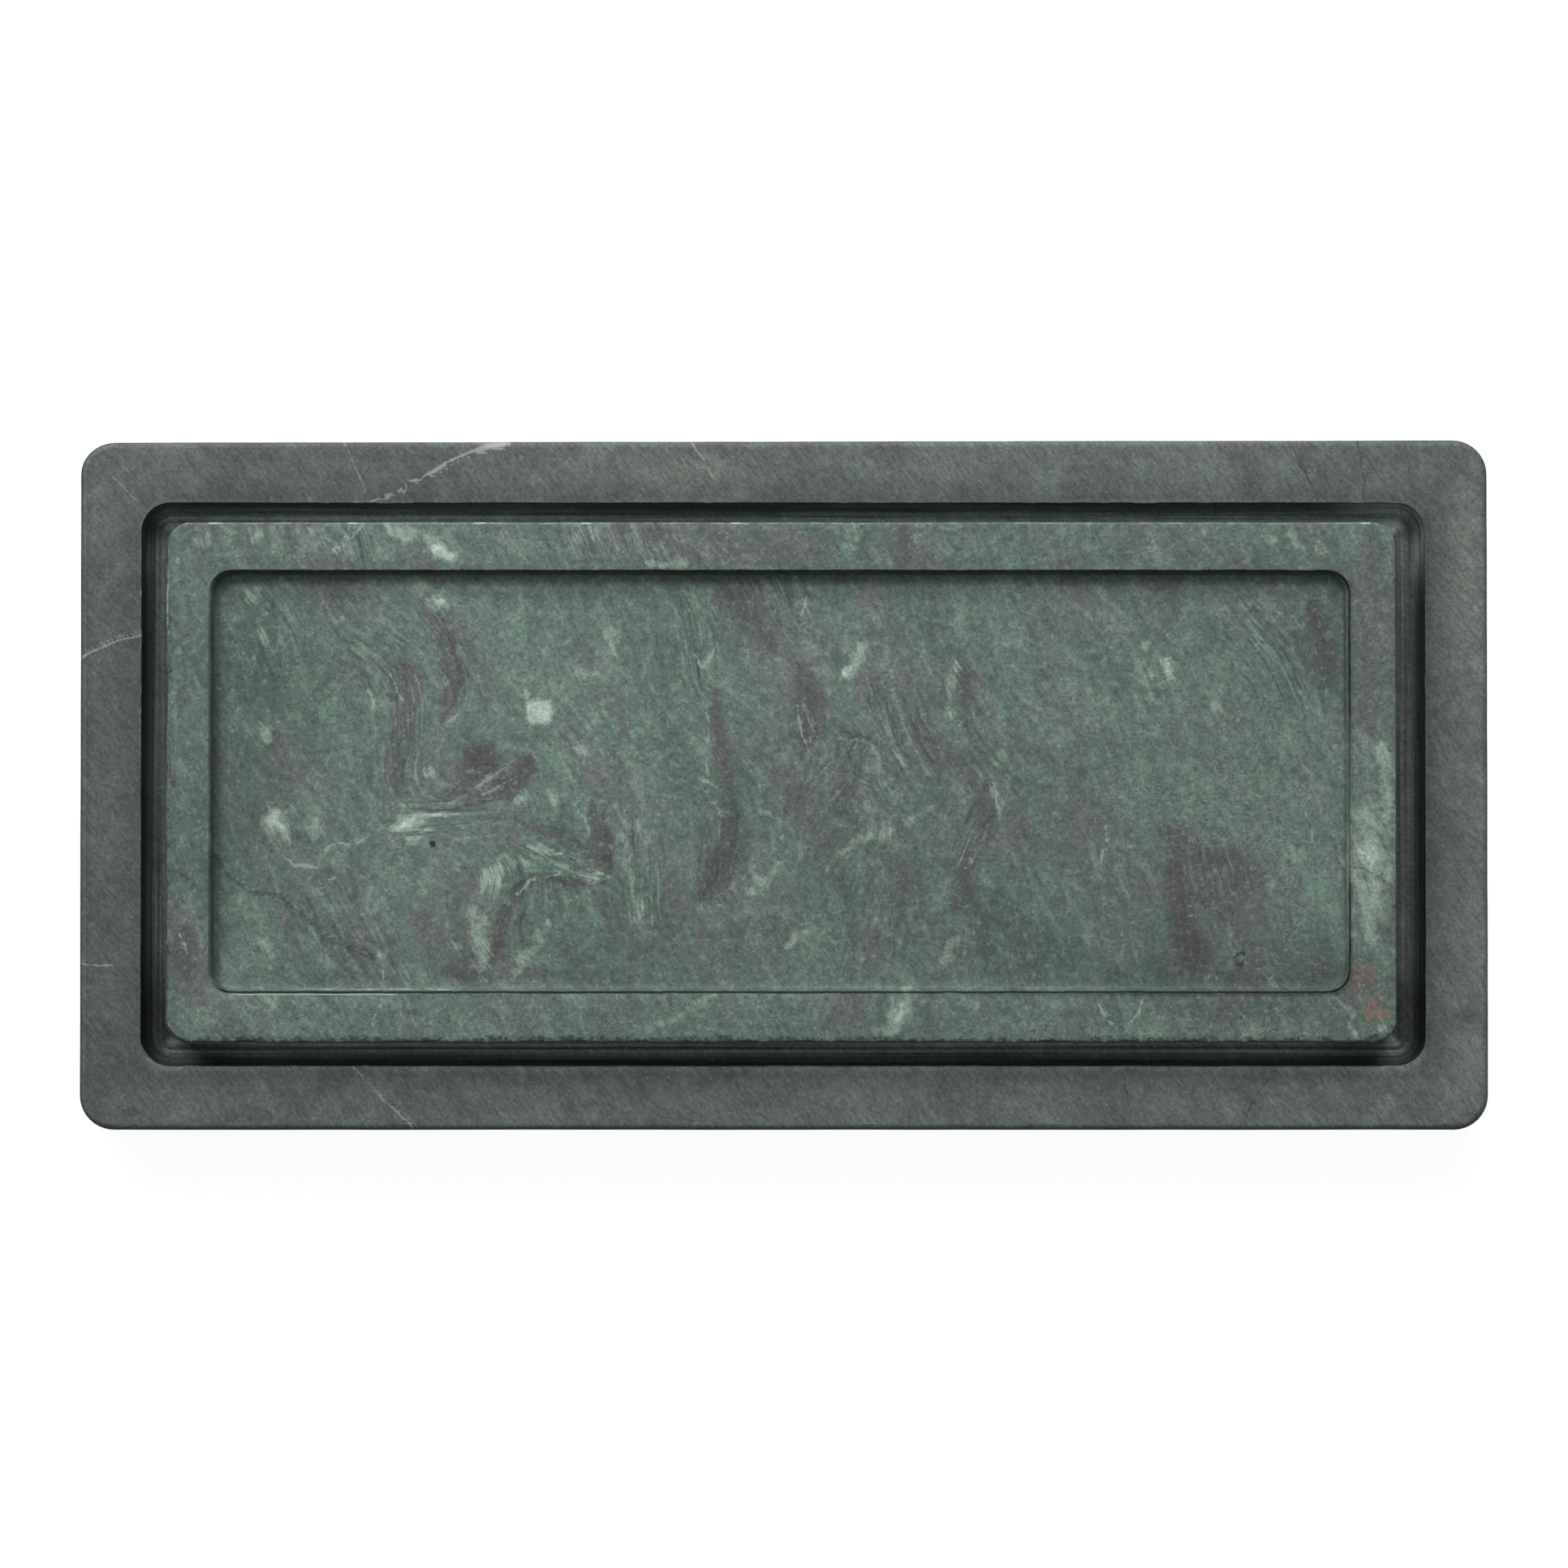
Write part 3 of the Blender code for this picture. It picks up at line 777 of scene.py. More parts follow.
# Pattern of the dark outer stone: first its thin light and dark veins, then its soft marks
DARK_PALE_VEINS = dict(
    white_vein_head=(3.4, (624, 547), (604, 550), (586, 555)),
    white_vein_thin=(1.4, (586, 554), (566, 562), (549, 570)),
    white_vein_streak=(2.1, (549, 571), (538, 577), (526, 584)),
    white_vein_speck=(1.6, (516, 591), (508, 593)),
    white_vein_low=(1.3, (500, 600), (484, 606), (458, 617)),
    white_vein_low_second=(0.8, (498, 606), (470, 616)),
    white_vein_end=(1.7, (446, 619), (434, 620)),
    left_rim_vein=(1.5, (99, 812), (120, 801), (142, 791), (178, 780)),
    corner_scratch=(0.68, (139, 589), (150, 598), (166, 614)),
    front_scratch=(0.8, (434, 1315), (452, 1334), (470, 1350), (507, 1387)),
    left_low_scratch=(0.75, (100, 1186), (137, 1188)),
    back_streak=(0.75, (853, 546), (866, 566), (880, 590)),
    back_scratch=(0.62, (422, 545), (440, 580), (450, 604)),
)

DARK_CRACKS = dict(
    front_right_slant=(0.7, (1570, 1318), (1548, 1350), (1534, 1380)),
    front_right_thin=(0.7, (1382, 1318), (1390, 1350), (1393, 1376)),
    front_right_long=(0.6, (1440, 1325), (1470, 1352), (1494, 1384)),
    back_right_first=(1.0, (1590, 546), (1602, 575), (1622, 615)),
    back_right_second=(1.2, (1672, 546), (1677, 575), (1684, 592), (1680, 614)),
    back_right_third=(1.0, (1735, 562), (1740, 590), (1746, 614)),
    front_right_edge=(0.6, (1722, 1320), (1742, 1350), (1752, 1380)),
    right_arc=(0.6, (1786, 1200), (1800, 1236), (1808, 1262)),
    front_bump=(0.8, (1560, 1318), (1572, 1322)),
)

DARK_PURPLE = dict(
    back_right_band=(24, 0.6, (1530, 545), (1545, 612)),
    left_corner_band=(26, 0.35, (160, 700), (162, 1100)),
    front_band=(14, 0.6, (1160, 1322), (1172, 1386)),
)

DARK_LIGHTER = dict(
    back_middle=(50, 0.9, (700, 570), (1500, 575), (1820, 570)),
    right_rim=(40, 1.7, (1800, 600), (1806, 1000), (1800, 1360)),
    left_rim=(34, 0.7, (120, 600), (120, 900)),
    front_rim=(40, 0.6, (1050, 1356), (1780, 1360)),
)

DARK_PALE = dict(
    back_patch=(9, 0.5, (905, 606), (930, 607)),
    front_right_specks=(10, 0.45, (1710, 1360)),
    front_streak=(8, 0.42, (1134, 1340), (1146, 1384)),
    front_streak_right=(5, 0.45, (1189, 1370), (1196, 1388)),
    vein_head=(5, 1.3, (590, 551), (623, 546)),
)


def spot_at(x_pixel, y_pixel):
    """Where a spot on the dish's floor lies, from its place in the photograph."""
    return (x_at(x_pixel), y_at(y_pixel), 0.0)


CRATER = spot_at(1526, 1181)
CRATER_RADIUS = 6.5 * PIXEL
BLACK_DOT = spot_at(534, 1040)
BLACK_DOT_RADIUS = 4.2 * PIXEL
SQUARE_SPOT = spot_at(665, 878)
SQUARE_SPOT_HALF = (15.5 * PIXEL, 14 * PIXEL)


def green_pattern(pixels):
    """The green marble's pattern at each place of the photograph."""
    marks = {"purple": PURPLE, "haze": HAZE, "pale": PALE, "bright": BRIGHT, "greener": GREENER, "rust": RUST,
             "lighter": GREEN_LIGHTER, "darker": GREEN_DARKER, "fibrous": FIBROUS, "crinkled": CRINKLED}
    found = {name: patches(pixels, named) for name, named in marks.items()}
    found["flow_x"], found["flow_y"] = strands(pixels).T
    found["pale_across"], found["pale_sure"] = veins(pixels, GREEN_PALE_VEINS, VEIN_DRIFT)
    turned, found["turned"] = turned_strands(pixels)
    found["turned_x"], found["turned_y"] = turned.T
    found["dark_across"], found["dark_sure"] = veins(pixels, GREEN_DARK_VEINS, VEIN_DRIFT)
    return found


def dark_pattern(pixels, pocket):
    """The dark stone's pattern at each place of the photograph. The pocket hides it."""
    on_face = 1 - smooth(0.2, 0.6, pocket)
    marks = {"purple": DARK_PURPLE, "pale": DARK_PALE, "lighter": DARK_LIGHTER}
    found = {name: patches(pixels, named) * on_face for name, named in marks.items()}
    for name, lines in (("pale", DARK_PALE_VEINS), ("dark", DARK_CRACKS)):
        found[f"{name}_across"], sure = veins(pixels, lines, SCRATCH_DRIFT)
        found[f"{name}_sure"] = sure * on_face
    return found


def arithmetic(operation, swapped=False):
    """A method for values that adds a math node."""
    def method(self, other=0.0):
        values = (other, self) if swapped else (self, other)
        return self.shade.math(operation, *values)
    return method


class Value:
    """A node's output. Arithmetic with it adds the nodes for that."""

    def __init__(self, shade, socket):
        self.shade = shade
        self.socket = socket

    __add__ = arithmetic("ADD")
    __sub__ = arithmetic("SUBTRACT")
    __rsub__ = arithmetic("SUBTRACT", swapped=True)
    __mul__ = arithmetic("MULTIPLY")
    __truediv__ = arithmetic("DIVIDE")
    __pow__ = arithmetic("POWER")
    __abs__ = arithmetic("ABSOLUTE")
    at_least = arithmetic("MAXIMUM")
    at_most = arithmetic("MINIMUM")

    def step(self, low, high):
        """A smooth step from 0 where the value is low to 1 where it is high."""
        ends = {"Value": self, "From Min": low, "From Max": high}
        return self.shade.new("ShaderNodeMapRange", ends, "Result", interpolation_type="SMOOTHSTEP")

    def spread(self, low, high):
        """A 0 to 1 value, stretched to run from low to high."""
        return self * (high - low) + low

    def sway(self, amount):
        """1, moved up and down by a 0 to 1 value. At 0 and 1 it is off by the amount."""
        return self.spread(1 - amount, 1 + amount)


class Shade:
    """Writes a node material in short lines."""

    def __init__(self, name):
        self.material = bpy.data.materials.new(name)
        self.material.use_nodes = True
        self.tree = self.material.node_tree
        self.place = self.new("ShaderNodeTexCoord", {}, "Object")

    def put(self, socket, value):
        """Joins a socket to another, or gives it a value."""
        if isinstance(value, Value):
            self.tree.links.new(value.socket, socket)
        else:
            socket.default_value = value

    def new(self, kind, inputs, output=0, **settings):
        """Adds a node with its settings and inputs. Returns one of its outputs."""
        node = self.tree.nodes.new(kind)
        for key, value in settings.items():
            setattr(node, key, value)
        for key, value in inputs.items():
            self.put(node.inputs[key], value)
        return Value(self, node.outputs[output])

    def field(self, name):
        return self.new("ShaderNodeAttribute", {}, "Fac", attribute_name=name)

    def math(self, operation, first, second=0.0):
        return self.new("ShaderNodeMath", {0: first, 1: second}, operation=operation)

    def vector(self, operation, *values):
        return self.new("ShaderNodeVectorMath", dict(enumerate(values)), operation=operation)

    def scale(self, vector, factor):
        """A place made larger, or a colour made brighter."""
        return self.new("ShaderNodeVectorMath", {0: vector, "Scale": factor}, operation="SCALE")

    def parts(self, place):
        node = self.tree.nodes.new("ShaderNodeSeparateXYZ")
        self.put(node.inputs[0], place)
        return [Value(self, socket) for socket in node.outputs]

    def joined(self, first, second, third=0.0):
        return self.new("ShaderNodeCombineXYZ", {0: first, 1: second, 2: third})

    def noise(self, place, detail=2.0, roughness=0.5, distortion=0.0):
        """Noise at a place, or on the object with a number of lumps in a metre."""
        if not isinstance(place, Value):
            place = self.scale(self.place, place)
        settings = {"Scale": 1.0, "Detail": detail, "Roughness": roughness, "Distortion": distortion}
        return self.new("ShaderNodeTexNoise", {"Vector": place, **settings}, "Fac")

    def grain(self, place, heading, along, across, *settings):
        """Noise, stretched to strands that run along a heading in plan.

        The heading is in degrees from +X. along and across are strands in a metre.
        """
        turn = {"Vector": place, "Angle": -math.radians(heading)}
        turned = self.new("ShaderNodeVectorRotate", turn, rotation_type="Z_AXIS")
        return self.noise(self.vector("MULTIPLY", turned, (along, across, across)), *settings)

    def mix(self, share, first, second):
        inputs = {"Factor": share, "A": first, "B": second}
        return self.new("ShaderNodeMix", inputs, "Result", data_type="RGBA")

    def layers(self, tone, *layers):
        """A colour with others laid over it, each given by its cover, its strength and its 0-255 colour."""
        for cover, strength, paint in layers:
            tone = self.mix(cover * strength, tone, colour(*paint))
        return tone

    def from_spot(self, spot, half_width, half_height, roughness):
        """How far off a spot lies on each axis, as shares of its half sizes, roughened a little."""
        apart = self.vector("SUBTRACT", self.place, spot)
        sized = self.vector("MULTIPLY", apart, (1 / half_width, 1 / half_height, 0))
        return self.scale(self.vector("ABSOLUTE", sized), self.noise(700, 3, 0.65).sway(roughness))

    def round_spot(self, spot, radius):
        """The distance from a spot, as a share of its radius."""
        apart = {0: self.from_spot(spot, radius, radius, 0.7)}
        return self.new("ShaderNodeVectorMath", apart, "Value", operation="LENGTH")

    def square_spot(self, spot, half_sizes):
        """1 at the edge of a square spot with slightly rounded corners, less inside it."""
        across, up, _ = self.parts(self.from_spot(spot, *half_sizes, 0.4))
        return (across ** 4.0 + up ** 4.0) ** 0.25

    def vein(self, kind, half_width, wander, thinnest=-3.6, widest=5.0):
        """A thin line where the distance from a vein crosses 0, sized in the photograph's pixels.

        It is broken where its width is under 0.
        """
        across, sure = self.field(f"{kind}_across"), self.field(f"{kind}_sure")
        moved = across + self.noise(900, 2, 0.6).spread(-wander, wander)
        wider = (sure - 1.0).at_least(0.0) * 1.6
        width = (self.noise(420, 3, 0.65).spread(thinnest, widest) + wider).at_least(0.01) * half_width
        return (abs(moved) / width).step(1.7, 0.2) * sure.step(0.35, 0.85)

    def with_painted_shade(self, tone, streaks, most):
        """A colour, darkened in streaks by painted shade and a little darker tone, and lightened by painted
        light where the value is below 0.
        """
        return self.scale(tone, 1.0 - (self.field("grime") * streaks).at_most(most))

    def worn_and_highlit(self, lumps, low, high):
        """Where the stone is worn light, and where highlights are painted on its edges, from 0 to 1."""
        wear = self.field("wear")
        return wear * (self.noise(lumps, 3, 0.7) + wear * 0.5).step(low, high)

    def bump(self, height, distance, strength, **below):
        inputs = {"Height": height, "Distance": distance, "Strength": strength, **below}
        return self.new("ShaderNodeBump", inputs, "Normal")

    def finish(self, inputs):
        """Fills the shader's inputs, and returns the material."""
        for name, value in inputs.items():
            self.put(self.tree.nodes["Principled BSDF"].inputs[name], value)
        return self.material


# How much the honed stones mirror, from 0 to 1
STONE_SHINE = 0.1
HATCH_HEADING = -52
# The smallest and the largest width of the dark stone's veins, as shares of their half widths
SCRATCH_WIDTHS = (-1.7, 3.3)


def green_marble():
    """Honed green marble: clouds, short strands, purple-brown stains and pale inclusions."""
    s = Shade("green_marble")
    depth = s.parts(s.place)[2]
    flow = s.joined(s.field("flow_x"), s.field("flow_y"), depth)
    turned_flow = s.joined(s.field("turned_x"), s.field("turned_y"), depth)

    def two_way(*settings):
        """Strands on their usual heading, or on the one that a named line gives them."""
        usual, own = (s.grain(place, GREEN_HEADING, *settings) for place in (flow, turned_flow))
        return usual + s.field("turned") * (own - usual)

    clouds = s.grain(flow, GREEN_HEADING, 26, 70, 4, 0.6, 0.6)
    blotches = s.grain(flow, GREEN_HEADING, 90, 170, 4, 0.65, 0.5)
    mottle = s.noise(430, 3, 0.62, 0.3)
    grit = s.noise(1250, 2, 0.7)
    strand = two_way(110, 420, 3, 0.6, 0.3)
    fibre = two_way(170, 1100, 3, 0.65, 0.3)
    long_strand = two_way(40, 560, 4, 0.62, 0.6)
    fibrous = s.field("fibrous").step(0.10, 0.95)

    # Clouds and stains, with ragged edges
    ragged = (strand * 0.4 + (blotches * 0.35 + mottle * 0.25)).spread(-1.5, 1.5)
    split = ragged * 0.8 + (long_strand - 0.5) * fibrous.spread(0.8, 3.0)
    haze = (s.field("haze") + ragged).step(0.20, 1.00)
    square_spot = s.square_spot(SQUARE_SPOT, SQUARE_SPOT_HALF).step(1.25, 0.80)
    zones = haze.at_least(clouds.step(0.47, 0.62) * 0.8)
    tone = s.layers(
        s.mix(zones, colour(92, 109, 101), colour(97, 101, 99)),
        (blotches.step(0.52, 0.66), 0.6, (112, 131, 121)),
        (blotches.step(0.48, 0.34), 0.55, (80, 90, 86)),
        ((s.field("greener") + ragged).step(0.10, 1.10), 0.45, (98, 123, 111)),
        ((s.field("purple") + split).step(0.25, 1.10), 0.85, (79, 78, 78)),
        ((s.field("rust") + ragged * 0.5).step(0.10, 1.15), 0.54, (130, 96, 84)),
        (mottle.step(0.55, 0.68), 0.3, (122, 141, 131)),
        (mottle.step(0.45, 0.33), 0.3, (76, 86, 82)),
        ((s.field("pale") + split).step(0.30, 1.00), 0.8, (133, 151, 140)),
        ((s.field("bright") + ragged * 0.8).step(0.35, 0.95), 0.85, (172, 186, 176)),
        (square_spot, 0.9, (157, 170, 161)))

    # Grain
    fibres = (fibre - 0.5) * fibrous.spread(0.35, 1.3) + 1.0
    flowing = (long_strand - 0.5) * fibrous.spread(0.2, 1.4) + 1.0
    for brightness in (fibres * flowing * grit.sway(0.75), mottle.sway(0.25) * strand.sway(0.25),
                       s.field("lighter").spread(1.01, 1.15) * s.field("darker").spread(1.0, 0.86)):
        tone = s.scale(tone, brightness)
    threads = long_strand.step(0.56, 0.66) * (fibre.step(0.45, 0.60) * fibrous.spread(0.2, 1.0))
    furrows = long_strand.step(0.44, 0.36) * (fibre.step(0.55, 0.42) * fibrous)

    # Crinkles, flecks, veins and single spots
    crinkled = (s.field("crinkled") + s.noise(90, 2, 0.6).spread(-0.6, 0.6)).step(0.25, 0.85)
    crinkles = abs(s.noise(330, 3, 0.65, 1.2) - 0.5).step(0.030, 0.006) * crinkled
    flecks = s.noise(700, 1, 0.5).step(0.64, 0.74) * blotches.step(0.40, 0.60)
    tone = s.layers(tone,
                    (threads, 0.45, (136, 154, 144)),
                    (furrows, 0.5, (68, 72, 70)),
                    (crinkles, 0.56, (138, 157, 146)),
                    (flecks, 0.5, (142, 160, 149)),
                    (s.vein("pale", 1.4, 3.0), 0.6, (156, 174, 163)))
    dark_lines = s.vein("dark", 2.2, 3.4) * 0.55
    tone = s.mix(dark_lines, tone, colour(62, 62, 62))
    ring = abs(s.round_spot(CRATER, CRATER_RADIUS) - 1.0) + mottle.spread(-1.1, 1.3)
    specks = s.noise(560, 1, 0.5).step(0.71, 0.78)
    tone = s.mix((ring.step(0.50, 0.15) * 0.7).at_least(specks * 0.4), tone, colour(44, 52, 49))
    black_dot = s.round_spot(BLACK_DOT, BLACK_DOT_RADIUS).step(1.2, 0.7)

    # Chips, painted shade and light in streaks, wear and painted highlights
    chipped = s.field("chipped")
    chips = (s.noise(420, 3, 0.75) * 0.7 + strand * 0.3 + chipped * 0.15).step(0.60, 0.68)
    chips = chips * (chipped * 2).at_most(1.0)
    tone = s.layers(tone, (black_dot, 0.9, (22, 28, 26)), (chips, 0.7, (36, 44, 41)))
    # Painted shade in streaks, and painted light where the values are below 0
    tone = s.with_painted_shade(tone, strand.spread(0.45, 1.55), 0.94)
    tone = s.layers(tone, (s.worn_and_highlit(200, 0.78, 1.02), 0.75, (168, 184, 174)))

    grain = s.bump(fibre * 0.5 + (grit * 0.35 + mottle * 0.15), 0.0003, 0.6)
    normal = s.bump(crinkles + dark_lines * -1.5, 0.0002, 0.4, Normal=grain)
    return s.finish({"Base Color": tone, "Roughness": grit.spread(0.45, 0.75), "Normal": normal,
                     "Specular IOR Level": STONE_SHINE})


def dark_stone():
    """Honed dark stone with a fine slanting hatch, thin broken white veins, and a sawn pocket."""
    s = Shade("dark_stone")
    clouds = s.noise(30, 3, 0.55, 0.5)
    blotches = s.noise(160, 3, 0.6, 0.4)
    hatch = s.grain(s.place, HATCH_HEADING, 330, 1200, 3, 0.65, 0.5)
    broad_hatch = s.grain(s.place, HATCH_HEADING, 80, 340, 3, 0.6, 0.6)
    speckle = s.noise(1300, 2, 0.65)
    ragged = (broad_hatch * 0.5 + blotches * 0.5).spread(-0.3, 0.3)

    tone = s.layers(
        s.mix(clouds.step(0.36, 0.64), colour(87, 93, 90), colour(96, 103, 98)),
        (blotches.step(0.50, 0.70), 0.35, (95, 108, 101)),
        ((s.field("purple") + ragged).step(0.15, 0.7), 0.7, (80, 82, 82)),
        ((s.field("pale") + ragged).step(0.25, 0.8), 0.6, (136, 142, 137)))
    for brightness in (hatch.sway(0.62) * speckle.sway(0.62), broad_hatch.sway(0.28) * blotches.sway(0.28),
                       s.field("lighter").spread(1.0, 1.16)):
        tone = s.scale(tone, brightness)
    pocket = s.field("pocket")
    tone = s.layers(
        tone,
        (s.noise(600, 1, 0.5).step(0.68, 0.76), 0.35, (132, 138, 133)),
        (s.vein("pale", 1.0, 1.2, *SCRATCH_WIDTHS), 0.7, (164, 170, 164)),
        (s.vein("dark", 1.1, 1.3, *SCRATCH_WIDTHS), 0.6, (50, 54, 52)),
        (pocket, 0.2, (84, 91, 98)))

    # Saw lines on the pocket's walls and floor, and the light painted into the pocket, most on its front and
    # back
    along, from_mouth = s.field("along"), s.field("from_mouth")
    saw_wide = s.noise(s.joined(along * 9, from_mouth * 900), 2, 0.5)
    saw_fine = s.noise(s.joined(along * 16, from_mouth * 2300), 2, 0.6)
    saw_lines = saw_wide * 0.6 + saw_fine * 0.4
    saw_and_painted_light = saw_lines.spread(-0.9, 3.5) * s.field("dust")
    tone = s.scale(tone, pocket * (saw_and_painted_light - 1.0) + 1.0)
    # Painted shade, painted light where the values are below 0, then wear and painted highlights
    tone = s.with_painted_shade(tone, broad_hatch.spread(0.8, 1.2), 0.93)
    tone = s.layers(tone, (s.worn_and_highlit(260, 0.70, 0.95), 0.6, (150, 158, 152)))

    grain = s.bump(hatch * 0.7 + speckle * 0.3, 0.0003, 0.5)
    normal = s.bump(saw_lines * pocket, 0.0005, 0.6, Normal=grain)
    return s.finish({"Base Color": tone, "Roughness": hatch.spread(0.5, 0.75), "Normal": normal,
                     "Specular IOR Level": STONE_SHINE})


def grey_felt():
    """Pressed felt: short matted hairs, with shade painted darker in the hollows."""
    s = Shade("grey_felt")
    hairs = s.grain(s.place, 20, 900, 5200, 3, 0.7, 2.5)
    tufts = s.noise(800, 4, 0.7)
    # Painted shade: the low hairs of the bump take the darker colour
    tone = s.scale(s.mix(hairs, colour(44, 45, 47), colour(78, 79, 82)), tufts.spread(0.8, 1.2))
    return s.finish({"Base Color": tone, "Roughness": 0.95, "Normal": s.bump(hairs + tufts, 0.0004, 0.8),
                     "Sheen Weight": 0.3})


def clear_silicone():
    """Milky silicone with a faint moulded texture and a few dull patches."""
    s = Shade("clear_silicone")
    haze = s.noise(350, 3, 0.6)
    return s.finish({"Base Color": s.mix(haze, colour(206, 210, 208), colour(228, 231, 229)),
                     "Roughness": haze.spread(0.18, 0.42), "Normal": s.bump(s.noise(2600, 2), 0.0001, 0.3),
                     "Transmission Weight": 0.55, "IOR": 1.41})


# Depths of small relief, and the waves round a loop of dents in a side
DENT = 0.00005
FAINT_DENT = 0.00004
NICK_DEPTH = 0.0003
POCKET_CHIP = 0.0002
DISH_CHIP = 0.00015
SIDE_WAVES = (21, 34, 55, 80)
SIDE_LOOPS = 5


def rounded_edge(steps):
    """How far in and how far down a quarter round lies, from its top end to its side end, as shares."""
    turns = np.radians(np.linspace(90, 0, steps + 1))
    return [(1 - math.cos(turn), 1 - math.sin(turn)) for turn in turns]


def cove(first, steps, lean, radius):
    """Loops round a cove, by degrees down from its wall: the degrees, the distance in, and the drop."""
    for angle in np.linspace(first, 90, steps):
        turn = math.radians(angle)
        yield angle, lean + radius * (1 - math.cos(turn)), radius * math.sin(turn)


def add_underside(stone, plan, corner, z, arris):
    """Loops from the middle of the underside to the foot of the side."""
    half = (plan[3] - plan[1]) / 2
    for share in (0.985, 0.7, 0.4, 0.2, 0.08):
        stone.add(inset(plan, half * share), max(corner - half * share, MM), z)
    stone.add(inset(plan, arris), corner - arris, z)
    stone.add(inset(plan, arris / 3), corner, z + arris / 3)


def add_side(stone, plan, corner, low, high, seed, outwards, grime):
    """Loops up a side, with shallow dents."""
    for share in np.linspace(0, 1, SIDE_LOOPS):
        dents = LOOP.dents(seed + int(10 * share), SIDE_WAVES, DENT)
        stone.add(plan, corner, low + (high - low) * share, outwards + dents, grime=grime)


# On the pocket's floor, as distances from its mouth: the painted light line and the painted shadow line along
# its front, how sharp they are, and where the floor, painted lighter, goes under the inner tray at the front
# and at the back
FRONT_LIGHT_LINE = 0.0045
FRONT_SHADOW_LINE = 0.0054
LINE_WIDTH = (0.0002, 0.0005)
UNDER_FRONT = (0.0058, 0.0064)
UNDER_BACK = (0.0030, 0.0042)

# Saw ridges on the floor: the step from one to the next, how far in they reach, their depth and their waver.
# The floor beyond them is plain, and the light painted on each side ends a little further in.
SAW_STEP = 0.0003
SAW_REACH = 0.0130
SAW_DEPTH = 0.00022
SAW_WAVER = 0.00003
PLAIN_FLOOR_START = 0.0145
PAINTED_LIGHT_REACH = 0.02

# How far round the pocket's back right corner there is less painted shade, and round its front corners less
# painted light
LESS_SHADED_CORNER = 24 * MM
LESS_LIT_CORNER = 30 * MM

# Painted shade and light, darker tone, wear and painted highlights of the outer tray on its left, front,
# right and back side
OUTER = by_sides(
    edge_grime=(0.65, 0.70, 0.35, 0.0),
    low_edge_grime=(0.0, 0.0, 0.0, 0.85),
    rim_grime=(0.12, 0.04, 0.02, 0.0),
    outside_grime=(0.18, 0.0, -0.04, 0.0),
    inside_grime=(0.14, 0.0, 0.0, 0.34),
    wide_inside_grime=(0.0, 0.0, 0.36, 0.0),
    front_mouth_light=(0.0, 1.1, 0.0, 0.0),
    mouth_grime=(0.3, -0.9, 0.4, 0.4),
    mouth_wear=(0.15, 0.9, 0.15, 0.1),
    wall_grime=(0.0, 0.0, 0.0, 0.06),
    dust=(0.9, 2.5, 1.0, 2.7))


def floor_painted_light(reach):
    """How much light is painted on the pocket's floor at a distance from its mouth: a light line and a shadow
    line along the front, and a lighter floor near the inner tray.
    """
    line, shadow_line = (1 - smooth(*LINE_WIDTH, abs(reach - place)) for place in (FRONT_LIGHT_LINE, FRONT_SHADOW_LINE))
    return (1 + 0.6 * LOOP.front * line - 0.5 * LOOP.front * shadow_line
            + 0.6 * LOOP.front * smooth(*UNDER_FRONT, reach) + 0.5 * LOOP.back * smooth(*UNDER_BACK, reach))


